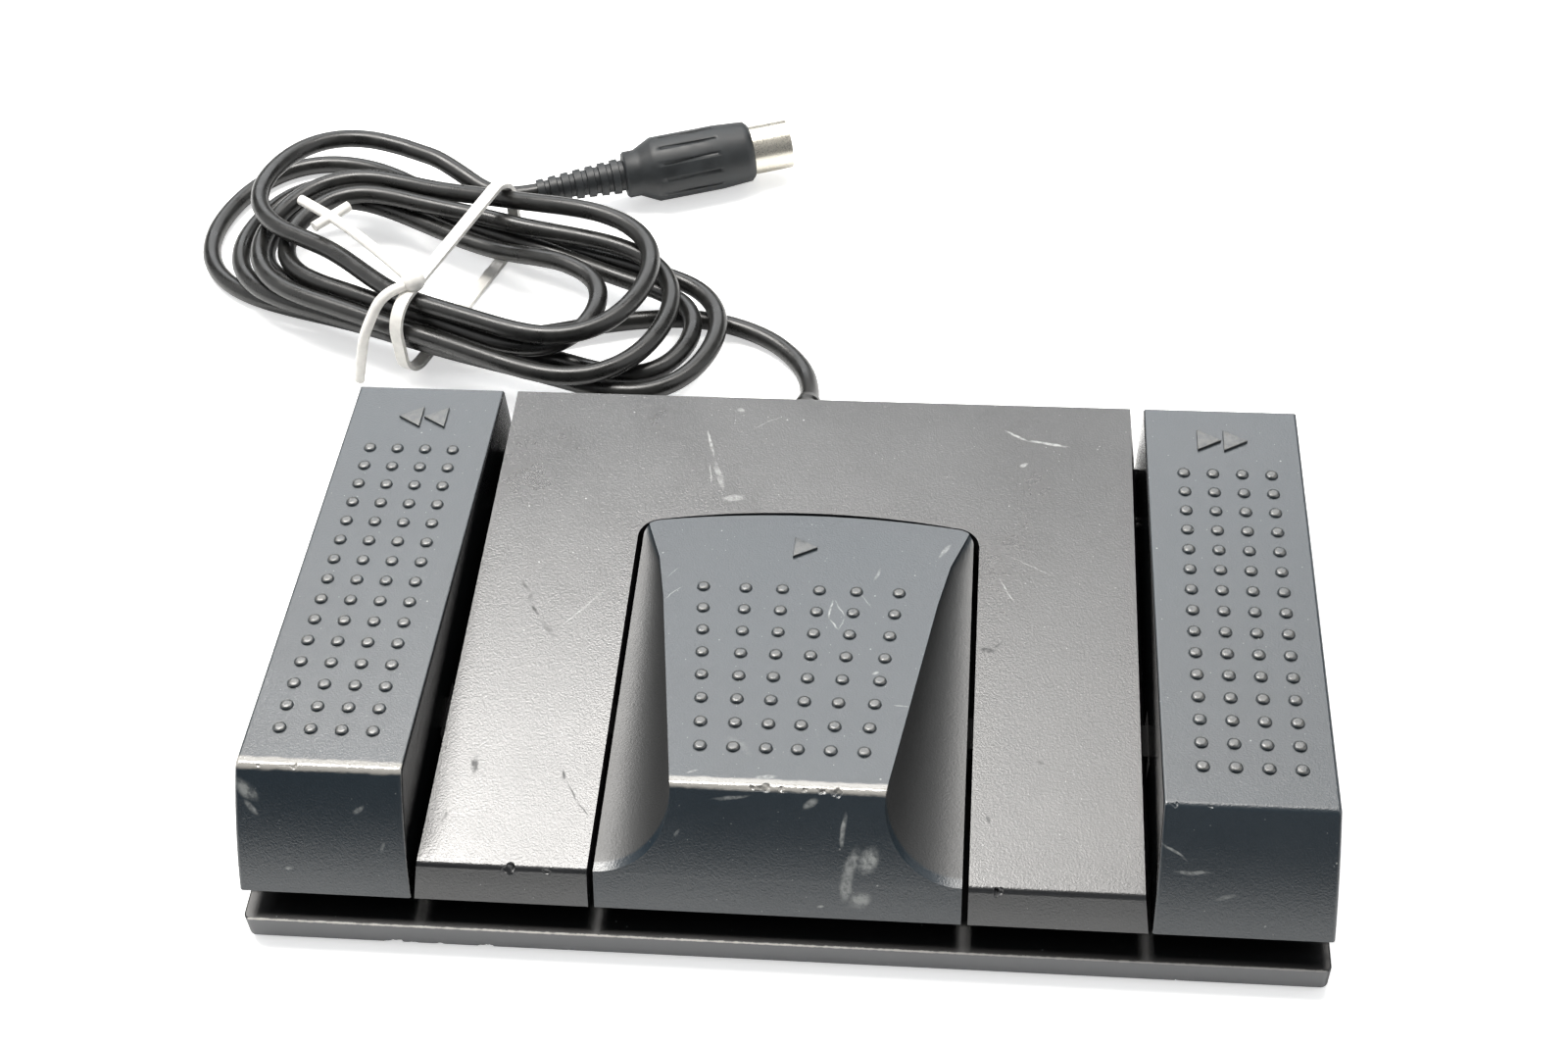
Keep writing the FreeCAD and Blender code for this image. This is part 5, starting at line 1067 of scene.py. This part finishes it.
def spline_length(curve):
    """Real length of a curve's own line."""
    bare = curve.copy()
    bare.data = curve.data.copy()
    bare.data.bevel_depth = 0
    line = bpy.data.meshes.new_from_object(bare)
    total = sum((line.vertices[e.vertices[0]].co - line.vertices[e.vertices[1]].co).length for e in line.edges)
    bpy.data.objects.remove(bare)
    return total


class PedalCordSettings(bpy.types.PropertyGroup):
    diameter: length_prop("Cord diameter", "Outer diameter of the jacket", CORD_DIAMETER)


class PEDAL_OT_cord(bpy.types.Operator):
    """Lay the cord: lead, tied hank and tail to the plug"""
    bl_idname = "pedal.cord"
    bl_label = "Cord"

    def execute(self, context):
        diameter = context.scene.pedal_cord.diameter
        data = bpy.data.curves.new("cord", "CURVE")
        data.dimensions = "3D"
        data.bevel_depth = diameter / 2
        data.bevel_resolution = CORD_ROUNDNESS
        data.resolution_u = CORD_STEPS
        data.use_fill_caps = True
        places = cord_places()
        spline = data.splines.new("NURBS")
        spline.points.add(len(places) - 1)
        for point, place in zip(spline.points, places):
            point.co = (*place, 1.0)
        spline.order_u = 3
        spline.use_endpoint_u = True
        cord = placed("cord", data)
        data.materials.append(finish_of("cord_pvc"))
        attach(cord, "base")
        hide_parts("cord_lead", "cord_hank", "cord_tail")
        length = spline_length(cord)
        return {"FINISHED"}


# Stage

# The camera's place in millimetres, its turns in degrees one after another, and its lens on a 36 mm sensor
CAMERA_PLACE = (36.816, -306.204, 401.160)
CAMERA_TURNS = ((7.197, "Z"), (42.079, "X"), (-3.437, "Z"))
CAMERA_LENS = 51.846
SENSOR = 36.0
CLIP = (0.01, 20.0)
# The floor's half width in metres, and how far it lies below the feet, in millimetres
FLOOR_HALF = 4.0
FLOOR_DROP = 0.2
WORLD_FILL = 0.12
# How far the paper looks white in gloss, in metres, how much it glows and the share of that seen in gloss
PAPER_NEAR = 0.3
PAPER_FAR = 0.8
PAPER_GLOW = 0.55
PAPER_IN_GLOSS = 0.25
# Lamps: name, place, turn in degrees, size, watts, tone
LAMPS = [
    ("softbox_near", (-0.28, 0.27, 0.84), (-18, 0, 0), (0.5, 0.32), 10.4, "#fffcf8"),
    ("softbox_side", (0.17, 0.37, 0.81), (-24, 0, 0), (0.36, 0.26), 2.2, "#fffcf8"),
    ("softbox_far", (-0.16, 0.99, 0.70), (-54, 0, 0), (1.4, 0.46), 7.9, "#fbfdff"),
    ("softbox_left", (-0.95, -0.1, 0.62), (0, -57, 0), (1.4, 1.0), 4.6, "#ffffff"),
    ("softbox_right", (0.95, -0.1, 0.62), (0, 57, 0), (1.4, 1.0), 5.0, "#ffffff"),
    ("softbox_front", (0.3, -1.2, 0.7), (60, 0, 12), (0.9, 0.5), 0.35, "#f4f9ff"),
]


def floor_paper():
    """White sweep paper: white to the camera and in gloss round the object, where it keeps the object's shadow."""
    made, tree, place = blank("sweep_paper")
    ray = put(tree, "ShaderNodeLightPath").node.outputs
    near = put(tree, SPAN, put(tree, V_LENGTH, place), PAPER_NEAR, PAPER_FAR, PAPER_IN_GLOSS, 0.0)
    gloss = put(tree, TIMES, near, put(tree, LARGER, ray["Is Glossy Ray"], ray["Is Transmission Ray"]))
    strength = put(tree, TIMES, put(tree, LARGER, ray["Is Camera Ray"], gloss), PAPER_GLOW)
    both = put(tree, "ShaderNodeAddShader", put(tree, "ShaderNodeBsdfDiffuse", linear("#f4f5f5")),
               put(tree, "ShaderNodeEmission", (1, 1, 1, 1), strength))
    put(tree, "ShaderNodeOutputMaterial", both)
    return made


class PEDAL_OT_stage(bpy.types.Operator):
    """Set the camera, the pale floor and the soft lights"""
    bl_idname = "pedal.stage"
    bl_label = "Stage"

    def execute(self, context):
        scene = context.scene
        data = bpy.data.cameras.new("camera")
        data.lens = CAMERA_LENS
        data.sensor_width = SENSOR
        camera = placed("camera", data)
        pose = Matrix.Translation(V(CAMERA_PLACE) * MM)
        for angle, axis in CAMERA_TURNS:
            pose = pose @ Matrix.Rotation(math.radians(angle), 4, axis)
        camera.matrix_world = pose
        data.clip_start, data.clip_end = CLIP
        scene.camera = camera
        floor = bpy.data.meshes.new("floor")
        corners = [(x * FLOOR_HALF, y * FLOOR_HALF, 0) for x, y in ((-1, -1), (1, -1), (1, 1), (-1, 1))]
        floor.from_pydata(corners, [], [(0, 1, 2, 3)])
        ground = placed("floor", floor)
        ground.location.z = -FLOOR_DROP * MM
        floor.materials.append(floor_paper())
        for name, place, turn, size, power, tone in LAMPS:
            lamp = bpy.data.lights.new(name, "AREA")
            lamp.color = linear(tone)[:3]
            lamp.shape = "RECTANGLE"
            lamp.size, lamp.size_y = size
            lamp.energy = power
            holder = placed(name, lamp)
            holder.location = place
            holder.rotation_euler = [math.radians(a) for a in turn]
        world = bpy.data.worlds.new("studio")
        scene.world = world
        world.use_nodes = True
        tree = world.node_tree
        tree.nodes.clear()
        fill = put(tree, "ShaderNodeBackground", linear("#eef1f4"), WORLD_FILL)
        sky = put(tree, "ShaderNodeBackground", (1, 1, 1, 1), 1.0)
        seen = put(tree, "ShaderNodeLightPath").node.outputs["Is Camera Ray"]
        put(tree, "ShaderNodeOutputWorld", put(tree, "ShaderNodeMixShader", seen, fill, sky))
        scene.view_settings.view_transform = "Standard"
        return {"FINISHED"}


# Finishes of the CAD nodes that stay

class PEDAL_OT_finish(bpy.types.Operator):
    """Give every carried-over part its material"""
    bl_idname = "pedal.finish"
    bl_label = "Finishes"

    def execute(self, context):
        for row in frame["record"]["subparts"]:
            paint(frame["nodes"][row["node"]].data, row["material_slot"])
        return {"FINISHED"}


STEPS = (PEDAL_OT_stage, PEDAL_OT_plug, PEDAL_OT_cord, PEDAL_OT_finish, PEDAL_OT_treadles, PEDAL_OT_housing,
         PEDAL_OT_screws, PEDAL_OT_springs)
GROUPS = {"pedal_cord": PedalCordSettings, "pedal_treadle": PedalTreadleSettings, "pedal_plug": PedalPlugSettings,
          "pedal_finish": PedalFinishSettings}


class PEDAL_PT_panel(bpy.types.Panel):
    """Lists the steps that build the pedal"""
    bl_idname = "PEDAL_PT_panel"
    bl_label = "Foot pedal"
    bl_space_type = "VIEW_3D"
    bl_region_type = "UI"
    bl_category = "Foot pedal"

    def draw(self, context):
        for name, group in GROUPS.items():
            for key in group.__annotations__:
                self.layout.prop(getattr(context.scene, name), key)
        for step in STEPS:
            self.layout.operator(step.bl_idname)


def register():
    for made in (*GROUPS.values(), *STEPS, PEDAL_PT_panel):
        bpy.utils.register_class(made)
    for name, group in GROUPS.items():
        setattr(bpy.types.Scene, name, bpy.props.PointerProperty(type=group))


def unregister():
    for name in GROUPS:
        delattr(bpy.types.Scene, name)
    for made in reversed((*GROUPS.values(), *STEPS, PEDAL_PT_panel)):
        bpy.utils.unregister_class(made)


def main():
    register()
    for step in STEPS:
        area, name = step.bl_idname.split(".")
        getattr(getattr(bpy.ops, area), name)()


if __name__ == "__main__":
    main()
